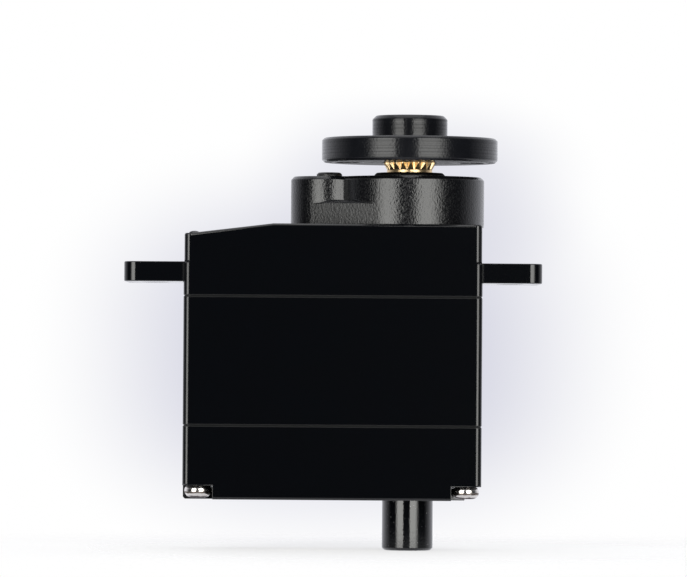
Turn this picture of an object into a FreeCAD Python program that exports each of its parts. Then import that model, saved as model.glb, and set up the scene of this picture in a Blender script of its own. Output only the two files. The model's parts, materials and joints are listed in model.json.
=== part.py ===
import FreeCAD, Part
import math
import os

# Micro servo actuator with two coaxial shafts: a splined output above and an idler pin below.
# Millimetres. +X is the right of the wide face, +Y is away from the viewer and +Z is the output.
# The origin is where the output axis meets the case's bottom face.

# Clearances and fits
running = 0.03
sliding = 0.1
air_gap = 0.3

# Case envelope
case_width = 12.1
axis_to_end = 5.65
case_corner = 0.45
edge_bevel = 0.15
seam_bevel = 0.1
wall = 0.75
cover_height = 5.75
middle_height = 10.05
top_height = 5.65
floor_thickness = 0.9
plate_thickness = 0.8
roof_thickness = 0.85
lip_height = 0.45
lip_thickness = 0.35
end_step = 1.25

# Upper edge of the top case
upper_end_inset = 0.05
slope_run = 6.95
slope_drop = 0.85

# Mounting ears
ear_span = 32.5
ear_width = 11.6
ear_thickness = 1.55
ear_rise = 1.1
ear_corner = 1.0
ear_hole = 2.2

# Gear housing on top
housing_wall = 0.66
shelf_height = 1.9
shelf_bevel = 0.27
boss_bevel = 0.25
collar_diameter = 5.6
collar_height = 0.35
collar_bevel = 0.2
pip_diameter = 2.0
pip_bevel = 0.15

# Idler pin below
idler_diameter = 4.0
idler_length = 4.0
idler_bevel = 0.2
idler_hole = 1.6
idler_hole_depth = 3.0

# Case screws
screw_inset = 1.2
screw_shank = 1.36
screw_head = 2.1
screw_head_height = 0.95
screw_head_gap = 0.08
screw_recess_height = 1.09
screw_bite = 2.6
pillar_width = 2.6
pin_seat_diameter = 2.4
wire_notch = 3.0

# Gear train
pressure_angle = 25.0
addendum_share = 0.8
dedendum_share = 1.05
backlash = 0.05
motor_spacing = 5.3
gear_spacing = 6.3
pinion_teeth = 9
first_wheel_teeth = 44
first_pinion_teeth = 11
second_wheel_teeth = 34
second_pinion_teeth = 11
third_wheel_teeth = 34
third_pinion_teeth = 11
output_teeth = 31
first_wheel_thickness = 1.0
wheel_thickness = 1.1
output_gear_thickness = 1.7
layer_gap = 0.3
train_lift = 0.4
gear_pin_diameter = 1.0
wheel_gap = 0.216
pinion_gap = 0.46
flank_run_count = 1

# Output shaft, bearing and spline
lower_shaft = 1.6
shaft_flat = 0.35
bush_diameter = 2.8
bearing_bore = 4.0
bearing_outside = 7.0
bearing_width = 2.0
bearing_rise = 0.4
ball_diameter = 0.72
ball_count = 9
shoulder_diameter = 5.0
neck_diameter = 3.55
spline_teeth = 20
spline_diameter = 3.95
spline_root = 3.5
spline_start = 0.27

# Disc horn
horn_diameter = 13.8
horn_thickness = 1.92
horn_gap = 0.8
horn_bevel = 0.2
horn_hole = 2.0
horn_hole_radius = 4.9
hub_diameter = 5.9
hub_height = 1.78
hub_bevel = 0.3
hub_recess_diameter = 4.3
hub_recess_depth = 1.15
hub_web = 0.6
horn_screw_head = 3.6
horn_screw_head_height = 1.0
horn_screw_shank = 1.96
horn_screw_length = 5.0

# Motor
motor_side_gap = 0.3
motor_end_gap = 0.2
motor_board_gap = 0.4
can_wall = 0.45
motor_boss_diameter = 3.0
motor_shaft_diameter = 0.8
motor_shaft_rise = 1.7
magnet_gap = 0.6
magnet_bore = 1.5
coil_gap = 0.45
coil_wall = 0.5
end_cap_thickness = 1.1
end_cap_flange = 0.5
commutator_diameter = 1.9
commutator_length = 0.9
brush_thickness = 0.12
brush_height = 0.6
terminal_width = 1.2
terminal_thickness = 0.3
terminal_gap = 0.55

# Position sensor
sensor_gap = 0.4
sensor_height = 3.9
sensor_wall = 0.7
wiper_diameter = 7.0
wiper_thickness = 0.9
wiper_finger_width = 0.5
track_width = 0.8
track_thickness = 0.12
sensor_leg_side = 0.4
sensor_leg_pitch = 2.0

# Control board
board_thickness = 0.6
board_underside = 3.3
board_clearance = 0.2
ledge_width = 1.6
ledge_depth = 0.5
chip_size = 3.6
chip_height = 0.75
chip_offset = 1.4
driver_length = 3.0
driver_width = 2.0
driver_height = 0.8
capacitor_length = 1.2
capacitor_width = 0.7
capacitor_height = 0.5
capacitor_pitch = 1.6
capacitor_count = 4

# Bus sockets
socket_count = 2
socket_length = 6.2
socket_width = 3.6
socket_wall = 0.45
socket_floor = 0.8
socket_pitch = 1.5
socket_pin_count = 3
socket_pin_side = 0.5
socket_spacing = 4.7
socket_to_axis = 4.7
socket_key_width = 1.4
socket_setback = 0.1

quarter_turn = 90

# Sides of the prisms that stand for hidden round forms, to keep the model light
round_side_count = 12
small_side_count = 6

# Levels and places worked out from the sizes above
pin_x = -gear_spacing
motor_x = pin_x - motor_spacing
motor_diameter = case_width - 2 * (wall + motor_side_gap)
case_left = motor_x - motor_diameter / 2 - motor_end_gap - wall
case_right = axis_to_end
case_length = case_right - case_left
case_centre = (case_left + case_right) / 2
half_width = case_width / 2
seam_low = cover_height
seam_high = cover_height + middle_height
case_top = seam_high + top_height
plate_low = seam_high - plate_thickness
ear_underside = seam_high + ear_rise
ear_top = ear_underside + ear_thickness
ear_hole_spacing = (case_length + ear_span) / 2
shelf_top = case_top + shelf_height
inner_left = case_left + wall
inner_end = case_right - wall / 2
inner_half = half_width - wall
screw_places = [
    (case_left + screw_inset, -half_width + screw_inset),
    (case_right - screw_inset, -half_width + screw_inset),
    (case_left + screw_inset, half_width - screw_inset),
    (case_right - screw_inset, half_width - screw_inset),
]
screw_tip = seam_high + screw_bite
screw_recess_side = screw_inset + screw_head / 2 + screw_head_gap

# Gear layers, from the plate upwards
first_wheel_low = seam_high + train_lift
first_wheel_top = first_wheel_low + first_wheel_thickness
second_wheel_low = first_wheel_top + layer_gap
second_wheel_top = second_wheel_low + wheel_thickness
third_wheel_low = second_wheel_top + layer_gap
third_wheel_top = third_wheel_low + wheel_thickness
second_pinion_top = third_wheel_top + layer_gap / 2
output_gear_low = third_wheel_top + layer_gap
output_gear_top = output_gear_low + output_gear_thickness
third_pinion_top = output_gear_top + layer_gap
first_pinion_top = third_wheel_low - sliding
bearing_low = output_gear_top + bearing_rise
bearing_top = bearing_low + bearing_width
boss_top = bearing_top + roof_thickness
collar_top = boss_top + collar_height
collar_bore = bearing_bore + air_gap
gear_pin_top = bearing_top
bearing_ring = ((bearing_outside - bearing_bore) / 2 - ball_diameter) / 2 - running

# Shaft and horn levels
spline_low = collar_top + spline_start
horn_low = collar_top + horn_gap
horn_top = horn_low + horn_thickness
hub_top = horn_top + hub_height
hub_floor = hub_top - hub_recess_depth
socket_top = hub_floor - hub_web
shaft_top = socket_top - sliding
shaft_screw_hole = horn_screw_shank + 2 * running
shaft_screw_floor = hub_floor - horn_screw_length - sliding

# Motor places and levels
board_top = board_underside + board_thickness
motor_top = plate_low
motor_low = board_top + motor_board_gap + end_cap_flange
can_inner = motor_diameter / 2 - can_wall
coil_diameter = 2 * (can_inner - coil_gap)
magnet_diameter = coil_diameter - 2 * (coil_wall + magnet_gap)
terminal_reach = can_inner - terminal_gap - terminal_width / 2
end_cap_top = motor_low + end_cap_thickness

# Sensor places and levels
sensor_diameter = wiper_diameter + 2 * (sensor_gap + sensor_wall)
sensor_leg_radius = sensor_diameter / 2 - sensor_wall
sensor_top = plate_low
sensor_low = sensor_top - sensor_height
wiper_low = sensor_low + sensor_wall + track_thickness + air_gap
shaft_low = wiper_low - air_gap / 2


def vec(x, y, z=0.0):
    return FreeCAD.Vector(x, y, z)


def cylinder(x, y, z_low, z_high, diameter):
    return Part.makeCylinder(diameter / 2, z_high - z_low, vec(x, y, z_low))


def prism(x, y, z_low, z_high, flats, side_count):
    """An upright prism measured across its flats, for a hidden round form."""
    radius = flats / 2 / math.cos(math.pi / side_count)
    corners = []
    for i in range(side_count):
        angle = 2 * math.pi * (i + 1 / 2) / side_count
        corners.append(vec(x + radius * math.cos(angle), y + radius * math.sin(angle), z_low))
    return Part.Face(Part.makePolygon(corners + corners[:1])).extrude(vec(0, 0, z_high - z_low))


def prism_tube(x, y, z_low, z_high, outside, inside):
    outer = prism(x, y, z_low, z_high, outside, round_side_count)
    return outer.cut(prism(x, y, z_low, z_high, inside, round_side_count))


def box(x_low, x_high, y_low, y_high, z_low, z_high):
    return Part.makeBox(x_high - x_low, y_high - y_low, z_high - z_low, vec(x_low, y_low, z_low))


def rounded_outline(x_low, x_high, y_low, y_high, radius):
    """A closed rectangle with round corners at Z = 0."""
    corners = [
        (x_high - radius, y_low + radius),
        (x_high - radius, y_high - radius),
        (x_low + radius, y_high - radius),
        (x_low + radius, y_low + radius),
    ]
    edges = []
    starts = []
    ends = []
    for i, (x, y) in enumerate(corners):
        start = (i - 1) * quarter_turn
        arc = Part.makeCircle(radius, vec(x, y), vec(0, 0, 1), start, start + quarter_turn)
        starts.append(arc.firstVertex().Point)
        ends.append(arc.lastVertex().Point)
        edges.append(arc)
    for i in range(len(corners)):
        edges.append(Part.makeLine(ends[i], starts[(i + 1) % len(corners)]))
    return Part.Wire(Part.__sortEdges__(edges))


def rounded_block(x_low, x_high, y_low, y_high, z_low, z_high, radius):
    face = Part.Face(rounded_outline(x_low, x_high, y_low, y_high, radius))
    face.translate(vec(0, 0, z_low))
    return face.extrude(vec(0, 0, z_high - z_low))


def bevelled_block(x_low, x_high, y_low, y_high, z_low, z_high, bevel):
    """A box whose upright edges are bevelled."""
    block = box(x_low, x_high, y_low, y_high, z_low, z_high)
    upright = [e for e in block.Edges if e.BoundBox.ZLength > (z_high - z_low) / 2]
    return block.makeChamfer(bevel, upright)


def edges_at(shape, level):
    """The edges that lie flat at one height."""
    tolerance = 1e-6
    return [
        e
        for e in shape.Edges
        if abs(e.BoundBox.ZMin - level) < tolerance and abs(e.BoundBox.ZMax - level) < tolerance
    ]


def revolved(points, x=0.0, y=0.0):
    """A solid of revolution about the vertical axis at x, y from (radius, height) points."""
    corners = [vec(x + r, y, z) for r, z in points]
    face = Part.Face(Part.makePolygon(corners + corners[:1]))
    return face.revolve(vec(x, y), vec(0, 0, 1), 360)


def bevel_topped(x, y, z_low, z_high, diameter, bevel):
    """A cylinder whose upper edge is bevelled."""
    body = cylinder(x, y, z_low, z_high, diameter)
    return body.makeChamfer(bevel, edges_at(body, z_high))


def fused(shapes):
    whole = shapes[0]
    for shape in shapes[1:]:
        whole = whole.fuse(shape)
    return whole.removeSplitter()


def cut_all(shape, tools):
    for tool in tools:
        shape = shape.cut(tool)
    return shape


def module_for(spacing, teeth, mate_teeth):
    """The module that lets two gears mesh at a centre distance."""
    return 2 * spacing / (teeth + mate_teeth)


def tip_radius(module, teeth):
    return module * (teeth / 2 + addendum_share)


def gear_outline(module, teeth, tooth_angle):
    """An involute gear's closed outline with a tooth centred on tooth_angle, in degrees.

    Each flank is drawn in straight runs between points of the true involute, above a straight
    foot where the root lies inside the base circle.
    """
    pitch_radius = module * teeth / 2
    base_radius = pitch_radius * math.cos(math.radians(pressure_angle))
    tip = tip_radius(module, teeth)
    root = pitch_radius - dedendum_share * module
    start = max(base_radius, root)

    def turned(radius):
        """How far the involute has turned from the base circle at a radius."""
        pressure = math.acos(min(1.0, base_radius / radius))
        return math.tan(pressure) - pressure

    half_tooth = math.pi / (2 * teeth) - backlash / (4 * pitch_radius) + turned(pitch_radius)
    flank = []
    for k in range(flank_run_count + 1):
        radius = start + (tip - start) * k / flank_run_count
        flank.append((radius, half_tooth - turned(radius)))
    if base_radius > root:
        flank.insert(0, (root, half_tooth))
    points = []
    for i in range(teeth):
        middle = math.radians(tooth_angle) + 2 * math.pi * i / teeth
        rising = [(radius, middle - lean) for radius, lean in flank]
        falling = [(radius, middle + lean) for radius, lean in reversed(flank)]
        points += [vec(r * math.cos(a), r * math.sin(a)) for r, a in rising + falling]
    return Part.makePolygon(points + points[:1])


def gear(module, teeth, tooth_angle, x, z_low, z_high):
    face = Part.Face(gear_outline(module, teeth, tooth_angle))
    solid = face.extrude(vec(0, 0, z_high - z_low))
    solid.translate(vec(x, 0, z_low))
    return solid


def gap_angle(teeth):
    """The angle for a tooth that leaves a gap centred on -X."""
    return 180 + 180 / teeth


def screw_pillars(z_low, z_high):
    """The four corner pillars that the case screws pass through, kept inside the case's outline."""
    half = pillar_width / 2
    solids = []
    for x, y in screw_places:
        x_edge = case_left + wall / 2 if x < case_centre else case_right - wall / 2
        y_edge = -half_width + wall / 2 if y < 0 else half_width - wall / 2
        solids.append(prism(x, y, z_low, z_high, pillar_width, small_side_count))
        solids.append(box(min(x, x_edge), max(x, x_edge), y - half, y + half, z_low, z_high))
        solids.append(box(x - half, x + half, min(y, y_edge), max(y, y_edge), z_low, z_high))
    bounds = box(
        case_left + wall / 2,
        case_right - wall / 2,
        -half_width + wall / 2,
        half_width - wall / 2,
        z_low,
        z_high,
    )
    return fused(solids).common(bounds)


def screw_holes(z_low, z_high, diameter):
    return [prism(x, y, z_low, z_high, diameter, small_side_count) for x, y in screw_places]


def case_block(z_low, z_high, end_inset=0.0):
    """The case's outer form between two levels."""
    return bevelled_block(
        case_left + end_inset,
        case_right - end_inset,
        -half_width,
        half_width,
        z_low,
        z_high,
        case_corner,
    )


def case_room(z_low, z_high, side=wall):
    """The room inside the case's walls between two levels."""
    return box(
        case_left + side,
        case_right - side,
        -half_width + side,
        half_width - side,
        z_low,
        z_high,
    )


def locating_lip(z_low, z_high, clearance=0.0):
    """The thin ring that lines one case section up with the next."""
    outer = case_room(z_low, z_high, wall - lip_thickness - clearance)
    return outer.cut(case_room(z_low, z_high, wall + clearance))


def make_bottom_cover():
    outer = case_block(0, seam_low)
    outer = outer.makeChamfer(edge_bevel, edges_at(outer, 0))
    outer = outer.makeChamfer(seam_bevel, edges_at(outer, seam_low))
    room = case_room(floor_thickness, seam_low)
    pillars = screw_pillars(floor_thickness, seam_low - lip_height - sliding)
    rib_left = case_right - end_step - wall
    rib_top = screw_recess_height + wall
    rib = box(rib_left, inner_end, -inner_half, inner_half, floor_thickness / 2, rib_top)
    shell = outer.cut(room).fuse(pillars).fuse(rib)
    step_left = case_right - end_step
    shell = shell.cut(
        box(step_left, 2 * case_right, -case_width, case_width, -screw_recess_height, screw_recess_height)
    )
    shell = shell.cut(locating_lip(seam_low - lip_height - sliding, seam_low, sliding / 4))
    for side in (-1, 1):
        y_wall = side * (inner_half + wall / 2)
        y_edge = side * (inner_half - ledge_depth)
        for x in (case_centre - case_length / 4, case_centre + case_length / 8):
            shell = shell.fuse(
                box(
                    x - ledge_width / 2,
                    x + ledge_width / 2,
                    min(y_wall, y_edge),
                    max(y_wall, y_edge),
                    floor_thickness / 2,
                    board_underside,
                )
            )
    for x, y in screw_places:
        x_side = -1 if x < case_centre else 1
        y_side = -1 if y < 0 else 1
        x_out = x + x_side * 2 * screw_inset
        y_out = y + y_side * 2 * screw_inset
        x_in = x + x_side * (screw_inset - screw_recess_side)
        y_in = y + y_side * (screw_inset - screw_recess_side)
        shell = shell.cut(
            box(
                min(x_out, x_in),
                max(x_out, x_in),
                min(y_out, y_in),
                max(y_out, y_in),
                -screw_recess_height,
                screw_recess_height,
            )
        )
    shell = cut_all(shell, screw_holes(0, seam_low, screw_shank + sliding))
    for x in socket_places():
        shell = shell.cut(socket_body(x, sliding / 2, -floor_thickness, board_underside))
    pin = cylinder(0, 0, -idler_length, floor_thickness, idler_diameter)
    pin = pin.makeChamfer(idler_bevel, edges_at(pin, -idler_length))
    shell = shell.fuse(pin)
    hole = cylinder(0, 0, -idler_length, -idler_length + idler_hole_depth, idler_hole)
    return shell.cut(hole).removeSplitter()


def make_middle_case():
    outer = case_block(seam_low, seam_high)
    outer = outer.makeChamfer(seam_bevel, edges_at(outer, seam_low) + edges_at(outer, seam_high))
    room = case_room(seam_low, plate_low)
    shell = outer.cut(room)
    shell = shell.fuse(locating_lip(seam_low - lip_height, seam_low + wall))
    shell = shell.fuse(screw_pillars(seam_low - lip_height, plate_low))
    partition_right = -sensor_diameter / 2 - air_gap
    partition_left = motor_x + motor_diameter / 2 + air_gap
    shell = shell.fuse(
        box(
            partition_left,
            partition_right,
            -inner_half - wall / 2,
            inner_half + wall / 2,
            sensor_low,
            plate_low,
        )
    )
    seat_top = first_wheel_low - sliding / 2
    shell = shell.fuse(prism(pin_x, 0, plate_low, seat_top, pin_seat_diameter, small_side_count))
    shell = shell.fuse(locating_lip(seam_high - plate_thickness / 2, seam_high + lip_height))
    tools = screw_holes(seam_low - lip_height, seam_high + lip_height, screw_shank + sliding)
    tools.append(cylinder(pin_x, 0, plate_low, seat_top, gear_pin_diameter))
    boss_hole = motor_boss_diameter + sliding / 2
    tools.append(prism(motor_x, 0, plate_low, seam_high, boss_hole, round_side_count))
    tools.append(prism(0, 0, plate_low, seam_high, bush_diameter, round_side_count))
    notch_half = wire_notch / 2
    tools.append(
        box(partition_left, partition_right, -notch_half, notch_half, sensor_low, sensor_low + notch_half)
    )
    return cut_all(shell, tools).removeSplitter()


def hull_outline(x_small, r_small, r_large):
    """Two circles joined by their outer tangents: the large one at the output axis."""
    distance = -x_small
    lean = math.asin((r_large - r_small) / distance)
    nx = -math.sin(lean)
    ny = math.cos(lean)
    large_up = vec(r_large * nx, r_large * ny)
    large_down = vec(r_large * nx, -r_large * ny)
    small_up = vec(x_small + r_small * nx, r_small * ny)
    small_down = vec(x_small + r_small * nx, -r_small * ny)
    edges = [
        Part.Arc(large_down, vec(r_large, 0), large_up).toShape(),
        Part.makeLine(large_up, small_up),
        Part.Arc(small_up, vec(x_small - r_small, 0), small_down).toShape(),
        Part.makeLine(small_down, large_down),
    ]
    return Part.Wire(edges)


def make_ears():
    middle = (ear_underside + ear_top) / 2
    plate = rounded_block(
        case_centre - ear_span / 2,
        case_centre + ear_span / 2,
        -ear_width / 2,
        ear_width / 2,
        ear_underside,
        ear_top,
        ear_corner,
    )
    holes = []
    for side in (-1, 1):
        x = case_centre + side * ear_hole_spacing / 2
        holes.append(cylinder(x, 0, middle - ear_thickness, middle + ear_thickness, ear_hole))
    return cut_all(plate, holes)


def make_top_case():
    lower = case_block(seam_high, ear_top)
    lower = lower.makeChamfer(seam_bevel, edges_at(lower, seam_high))
    upper = case_block(ear_top, case_top, upper_end_inset)
    slope = Part.Face(
        Part.makePolygon(
            [
                vec(case_left, -case_width, case_top - slope_drop),
                vec(case_left + slope_run, -case_width, case_top),
                vec(case_left, -case_width, case_top + slope_drop),
                vec(case_left, -case_width, case_top - slope_drop),
            ]
        )
    ).extrude(vec(0, 2 * case_width, 0))
    upper = upper.cut(slope)
    rim = [e for e in upper.Edges if e.BoundBox.ZMin > ear_top + edge_bevel]
    rim = [e for e in rim if not crosses_width(e)]
    upper = upper.makeChamfer(edge_bevel, rim)
    cavity = wheel_room_radius()
    boss_radius = cavity + housing_wall
    lobe_radius = pinion_room_radius() + housing_wall
    foot = case_top - edge_bevel
    shelf = Part.Face(hull_outline(pin_x, lobe_radius, boss_radius))
    shelf.translate(vec(0, 0, foot))
    shelf = shelf.extrude(vec(0, 0, shelf_top - foot))
    shelf = shelf.makeChamfer(shelf_bevel, edges_at(shelf, shelf_top))
    boss = bevel_topped(0, 0, foot, boss_top, 2 * boss_radius, boss_bevel)
    lobe = bevel_topped(pin_x, 0, foot, boss_top, 2 * lobe_radius, boss_bevel)
    collar = bevel_topped(0, 0, foot, collar_top, collar_diameter, collar_bevel)
    pip = bevel_topped(pin_x, 0, foot, collar_top, pip_diameter, pip_bevel)
    body = fused([lower, upper, shelf, boss, lobe, collar, pip, make_ears()])
    pillars = screw_pillars(seam_high, third_wheel_top)
    bay = box(inner_left, motor_x + wall, -inner_half, inner_half, seam_high, third_wheel_low)
    rebate = locating_lip(seam_high, seam_high + lip_height + sliding, sliding / 4)
    pinion_room = 2 * pinion_room_radius()
    train_room = fused(
        [
            prism(0, 0, seam_high, output_gear_top + layer_gap, 2 * cavity, round_side_count),
            prism(pin_x, 0, seam_high, third_wheel_top + air_gap, 2 * cavity, round_side_count),
            prism(pin_x, 0, seam_high, third_pinion_top + air_gap, pinion_room, round_side_count),
            bay.cut(pillars),
        ]
    )
    body = body.cut(train_room).cut(rebate)
    tools = screw_holes(seam_high, screw_tip + sliding, screw_shank)
    tools.append(cylinder(0, 0, bearing_low - air_gap, bearing_top, bearing_outside))
    tools.append(cylinder(0, 0, bearing_top, collar_top, collar_bore))
    tools.append(prism(pin_x, 0, seam_high, gear_pin_top, gear_pin_diameter, small_side_count))
    return cut_all(body, tools).removeSplitter()


def wheel_room_radius():
    """The radius that clears the widest wheel of the train."""
    tips = [
        tip_radius(module_for(motor_spacing, pinion_teeth, first_wheel_teeth), first_wheel_teeth),
        tip_radius(module_for(gear_spacing, first_pinion_teeth, second_wheel_teeth), second_wheel_teeth),
        tip_radius(module_for(gear_spacing, second_pinion_teeth, third_wheel_teeth), third_wheel_teeth),
        tip_radius(module_for(gear_spacing, third_pinion_teeth, output_teeth), output_teeth),
    ]
    return max(tips) + wheel_gap


def pinion_room_radius():
    """The radius that clears the third pinion inside the lobe."""
    module = module_for(gear_spacing, third_pinion_teeth, output_teeth)
    return tip_radius(module, third_pinion_teeth) + pinion_gap


def crosses_width(edge):
    """Whether an edge runs straight across the case, as the fold at the slope's top does."""
    size = edge.BoundBox
    inside = case_left + case_length / 8 < size.XMin < case_left + case_length / 2
    return inside and size.XLength < edge_bevel and size.YLength > case_width / 2


def make_case_screws():
    screws = []
    for x, y in screw_places:
        head_low = screw_recess_height - screw_head_height
        head = prism(x, y, head_low, screw_recess_height, screw_head, round_side_count)
        shank_flats = screw_shank - running
        shank = prism(x, y, screw_recess_height, screw_tip, shank_flats, small_side_count)
        screws.append(head.fuse(shank).removeSplitter())
    return screws


def make_gear_pin():
    return cylinder(pin_x, 0, plate_low, gear_pin_top, gear_pin_diameter)


def make_motor_pinion():
    module = module_for(motor_spacing, pinion_teeth, first_wheel_teeth)
    low = first_wheel_low - sliding
    high = first_wheel_top + sliding
    body = gear(module, pinion_teeth, 0, motor_x, low, high)
    return body.cut(prism(motor_x, 0, low, high, motor_shaft_diameter, round_side_count))


def make_compound_gear_1():
    wheel_module = module_for(motor_spacing, pinion_teeth, first_wheel_teeth)
    pinion_module = module_for(gear_spacing, first_pinion_teeth, second_wheel_teeth)
    wheel_angle = gap_angle(first_wheel_teeth)
    wheel = gear(wheel_module, first_wheel_teeth, wheel_angle, pin_x, first_wheel_low, first_wheel_top)
    pinion = gear(pinion_module, first_pinion_teeth, 0, pin_x, first_wheel_top, first_pinion_top)
    bore = cylinder(pin_x, 0, first_wheel_low, first_pinion_top, gear_pin_diameter + 2 * running)
    return wheel.fuse(pinion).cut(bore)


def make_compound_gear_2():
    wheel_module = module_for(gear_spacing, first_pinion_teeth, second_wheel_teeth)
    pinion_module = module_for(gear_spacing, second_pinion_teeth, third_wheel_teeth)
    wheel_angle = gap_angle(second_wheel_teeth)
    pinion_angle = gap_angle(second_pinion_teeth)
    wheel = gear(wheel_module, second_wheel_teeth, wheel_angle, 0, second_wheel_low, second_wheel_top)
    pinion = gear(pinion_module, second_pinion_teeth, pinion_angle, 0, second_wheel_top, second_pinion_top)
    bore = cylinder(0, 0, second_wheel_low, second_pinion_top, lower_shaft + 2 * running)
    return wheel.fuse(pinion).cut(bore)


def make_compound_gear_3():
    wheel_module = module_for(gear_spacing, second_pinion_teeth, third_wheel_teeth)
    pinion_module = module_for(gear_spacing, third_pinion_teeth, output_teeth)
    wheel = gear(wheel_module, third_wheel_teeth, 0, pin_x, third_wheel_low, third_wheel_top)
    pinion = gear(pinion_module, third_pinion_teeth, 0, pin_x, third_wheel_top, third_pinion_top)
    bore = cylinder(pin_x, 0, third_wheel_low, third_pinion_top, gear_pin_diameter + 2 * running)
    return wheel.fuse(pinion).cut(bore)


def spline_outline(root_diameter, tip_diameter):
    """The output spline's toothed outline, with V teeth."""
    points = []
    for i in range(spline_teeth):
        tip_angle = 2 * math.pi * i / spline_teeth
        root_angle = tip_angle + math.pi / spline_teeth
        for diameter, angle in ((tip_diameter, tip_angle), (root_diameter, root_angle)):
            points.append(vec(diameter / 2 * math.cos(angle), diameter / 2 * math.sin(angle)))
    return Part.makePolygon(points + points[:1])


def make_output_gear():
    module = module_for(gear_spacing, third_pinion_teeth, output_teeth)
    wheel = gear(module, output_teeth, gap_angle(output_teeth), 0, output_gear_low, output_gear_top)
    journal_top = bearing_top + air_gap / 2
    core = revolved(
        [
            (0, shaft_low),
            (lower_shaft / 2, shaft_low),
            (lower_shaft / 2, output_gear_low),
            (bearing_bore / 2, output_gear_low),
            (bearing_bore / 2, journal_top),
            (neck_diameter / 2, journal_top),
            (neck_diameter / 2, spline_low),
            (0, spline_low),
        ]
    )
    teeth = Part.Face(spline_outline(spline_root, spline_diameter)).extrude(
        vec(0, 0, shaft_top - spline_low)
    )
    teeth.translate(vec(0, 0, spline_low))
    shoulder = prism(0, 0, output_gear_low, bearing_low, shoulder_diameter, round_side_count)
    body = fused([wheel, shoulder, core, teeth])
    hole = prism(0, 0, shaft_screw_floor, shaft_top, shaft_screw_hole, round_side_count)
    body = body.cut(hole)
    flat = box(
        lower_shaft / 2 - shaft_flat,
        lower_shaft,
        -lower_shaft,
        lower_shaft,
        shaft_low,
        wiper_low + wiper_thickness + air_gap,
    )
    return body.cut(flat).removeSplitter()


def make_shaft_bush():
    top = second_wheel_low - sliding / 2
    body = prism(0, 0, plate_low, top, bush_diameter, round_side_count)
    return body.cut(cylinder(0, 0, plate_low, top, lower_shaft + 2 * running))


def make_output_bearing_outer():
    race = bearing_outside - 2 * bearing_ring
    ring = cylinder(0, 0, bearing_low, bearing_top, bearing_outside)
    return ring.cut(prism(0, 0, bearing_low, bearing_top, race, round_side_count))


def make_output_bearing_inner():
    race = (bearing_bore + 2 * bearing_ring) * math.cos(math.pi / round_side_count)
    ring = prism(0, 0, bearing_low, bearing_top, race, round_side_count)
    return ring.cut(cylinder(0, 0, bearing_low, bearing_top, bearing_bore))


def many_sided_ball(diameter, centre):
    """A ball with 26 flat faces and its corners on the diameter: a cube with all edges bevelled."""
    edge = diameter / math.sqrt(5 + 2 * math.sqrt(2))
    side = edge * (1 + math.sqrt(2))
    cube = Part.makeBox(side, side, side, centre - vec(side / 2, side / 2, side / 2))
    return cube.makeChamfer((side - edge) / 2, cube.Edges)


def make_bearing_balls():
    pitch = (bearing_bore + bearing_outside) / 4
    middle = (bearing_low + bearing_top) / 2
    balls = []
    for i in range(ball_count):
        angle = 2 * math.pi * i / ball_count
        centre = vec(pitch * math.cos(angle), pitch * math.sin(angle), middle)
        balls.append(many_sided_ball(ball_diameter, centre))
    return balls


def make_horn_disc():
    half = horn_diameter / 2
    hub = hub_diameter / 2
    body = revolved(
        [
            (0, horn_low),
            (half - horn_bevel, horn_low),
            (half, horn_low + horn_bevel),
            (half, horn_top - horn_bevel),
            (half - horn_bevel, horn_top),
            (hub, horn_top),
            (hub, hub_top - hub_bevel),
            (hub - hub_bevel, hub_top),
            (0, hub_top),
        ]
    )
    socket = Part.Face(
        spline_outline(spline_root + 2 * running, spline_diameter + 2 * running)
    ).extrude(vec(0, 0, socket_top - horn_low))
    socket.translate(vec(0, 0, horn_low))
    tools = [
        socket,
        prism(0, 0, horn_low, hub_top, horn_screw_shank + sliding, round_side_count),
        cylinder(0, 0, hub_floor, hub_top, hub_recess_diameter),
    ]
    for i in range(4):
        angle = math.radians(90 * i)
        x = horn_hole_radius * math.cos(angle)
        y = horn_hole_radius * math.sin(angle)
        tools.append(cylinder(x, y, horn_low, horn_top, horn_hole))
    return cut_all(body, tools)


def make_horn_screw():
    head = cylinder(0, 0, hub_floor, hub_floor + horn_screw_head_height, horn_screw_head)
    tip = hub_floor - horn_screw_length
    shank = prism(0, 0, tip, hub_floor, horn_screw_shank, round_side_count)
    return head.fuse(shank).removeSplitter()


def make_motor_can():
    body = prism(motor_x, 0, motor_low, motor_top, motor_diameter, round_side_count)
    body = body.fuse(
        prism(motor_x, 0, motor_top, seam_high, motor_boss_diameter, round_side_count)
    )
    room = prism(motor_x, 0, motor_low, motor_top - can_wall, 2 * can_inner, round_side_count)
    shaft_hole = cylinder(motor_x, 0, motor_low, seam_high, motor_shaft_diameter + 2 * running)
    return body.cut(room).cut(shaft_hole).removeSplitter()


def coil_low():
    return end_cap_top + commutator_length + brush_thickness


def make_motor_magnet():
    low = coil_low() + coil_wall + air_gap
    return prism_tube(motor_x, 0, low, motor_top - can_wall, magnet_diameter, magnet_bore)


def make_rotor_coil():
    low = coil_low()
    high = motor_top - can_wall - air_gap
    inside = coil_diameter - 2 * coil_wall
    cup = prism_tube(motor_x, 0, low, high, coil_diameter, inside)
    disc = prism_tube(motor_x, 0, low, low + coil_wall, coil_diameter, motor_shaft_diameter)
    return cup.fuse(disc).removeSplitter()


def make_motor_shaft():
    return cylinder(motor_x, 0, motor_low, seam_high + motor_shaft_rise, motor_shaft_diameter)


def make_motor_commutator():
    low = coil_low() - commutator_length
    return prism_tube(motor_x, 0, low, coil_low(), commutator_diameter, motor_shaft_diameter)


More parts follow.
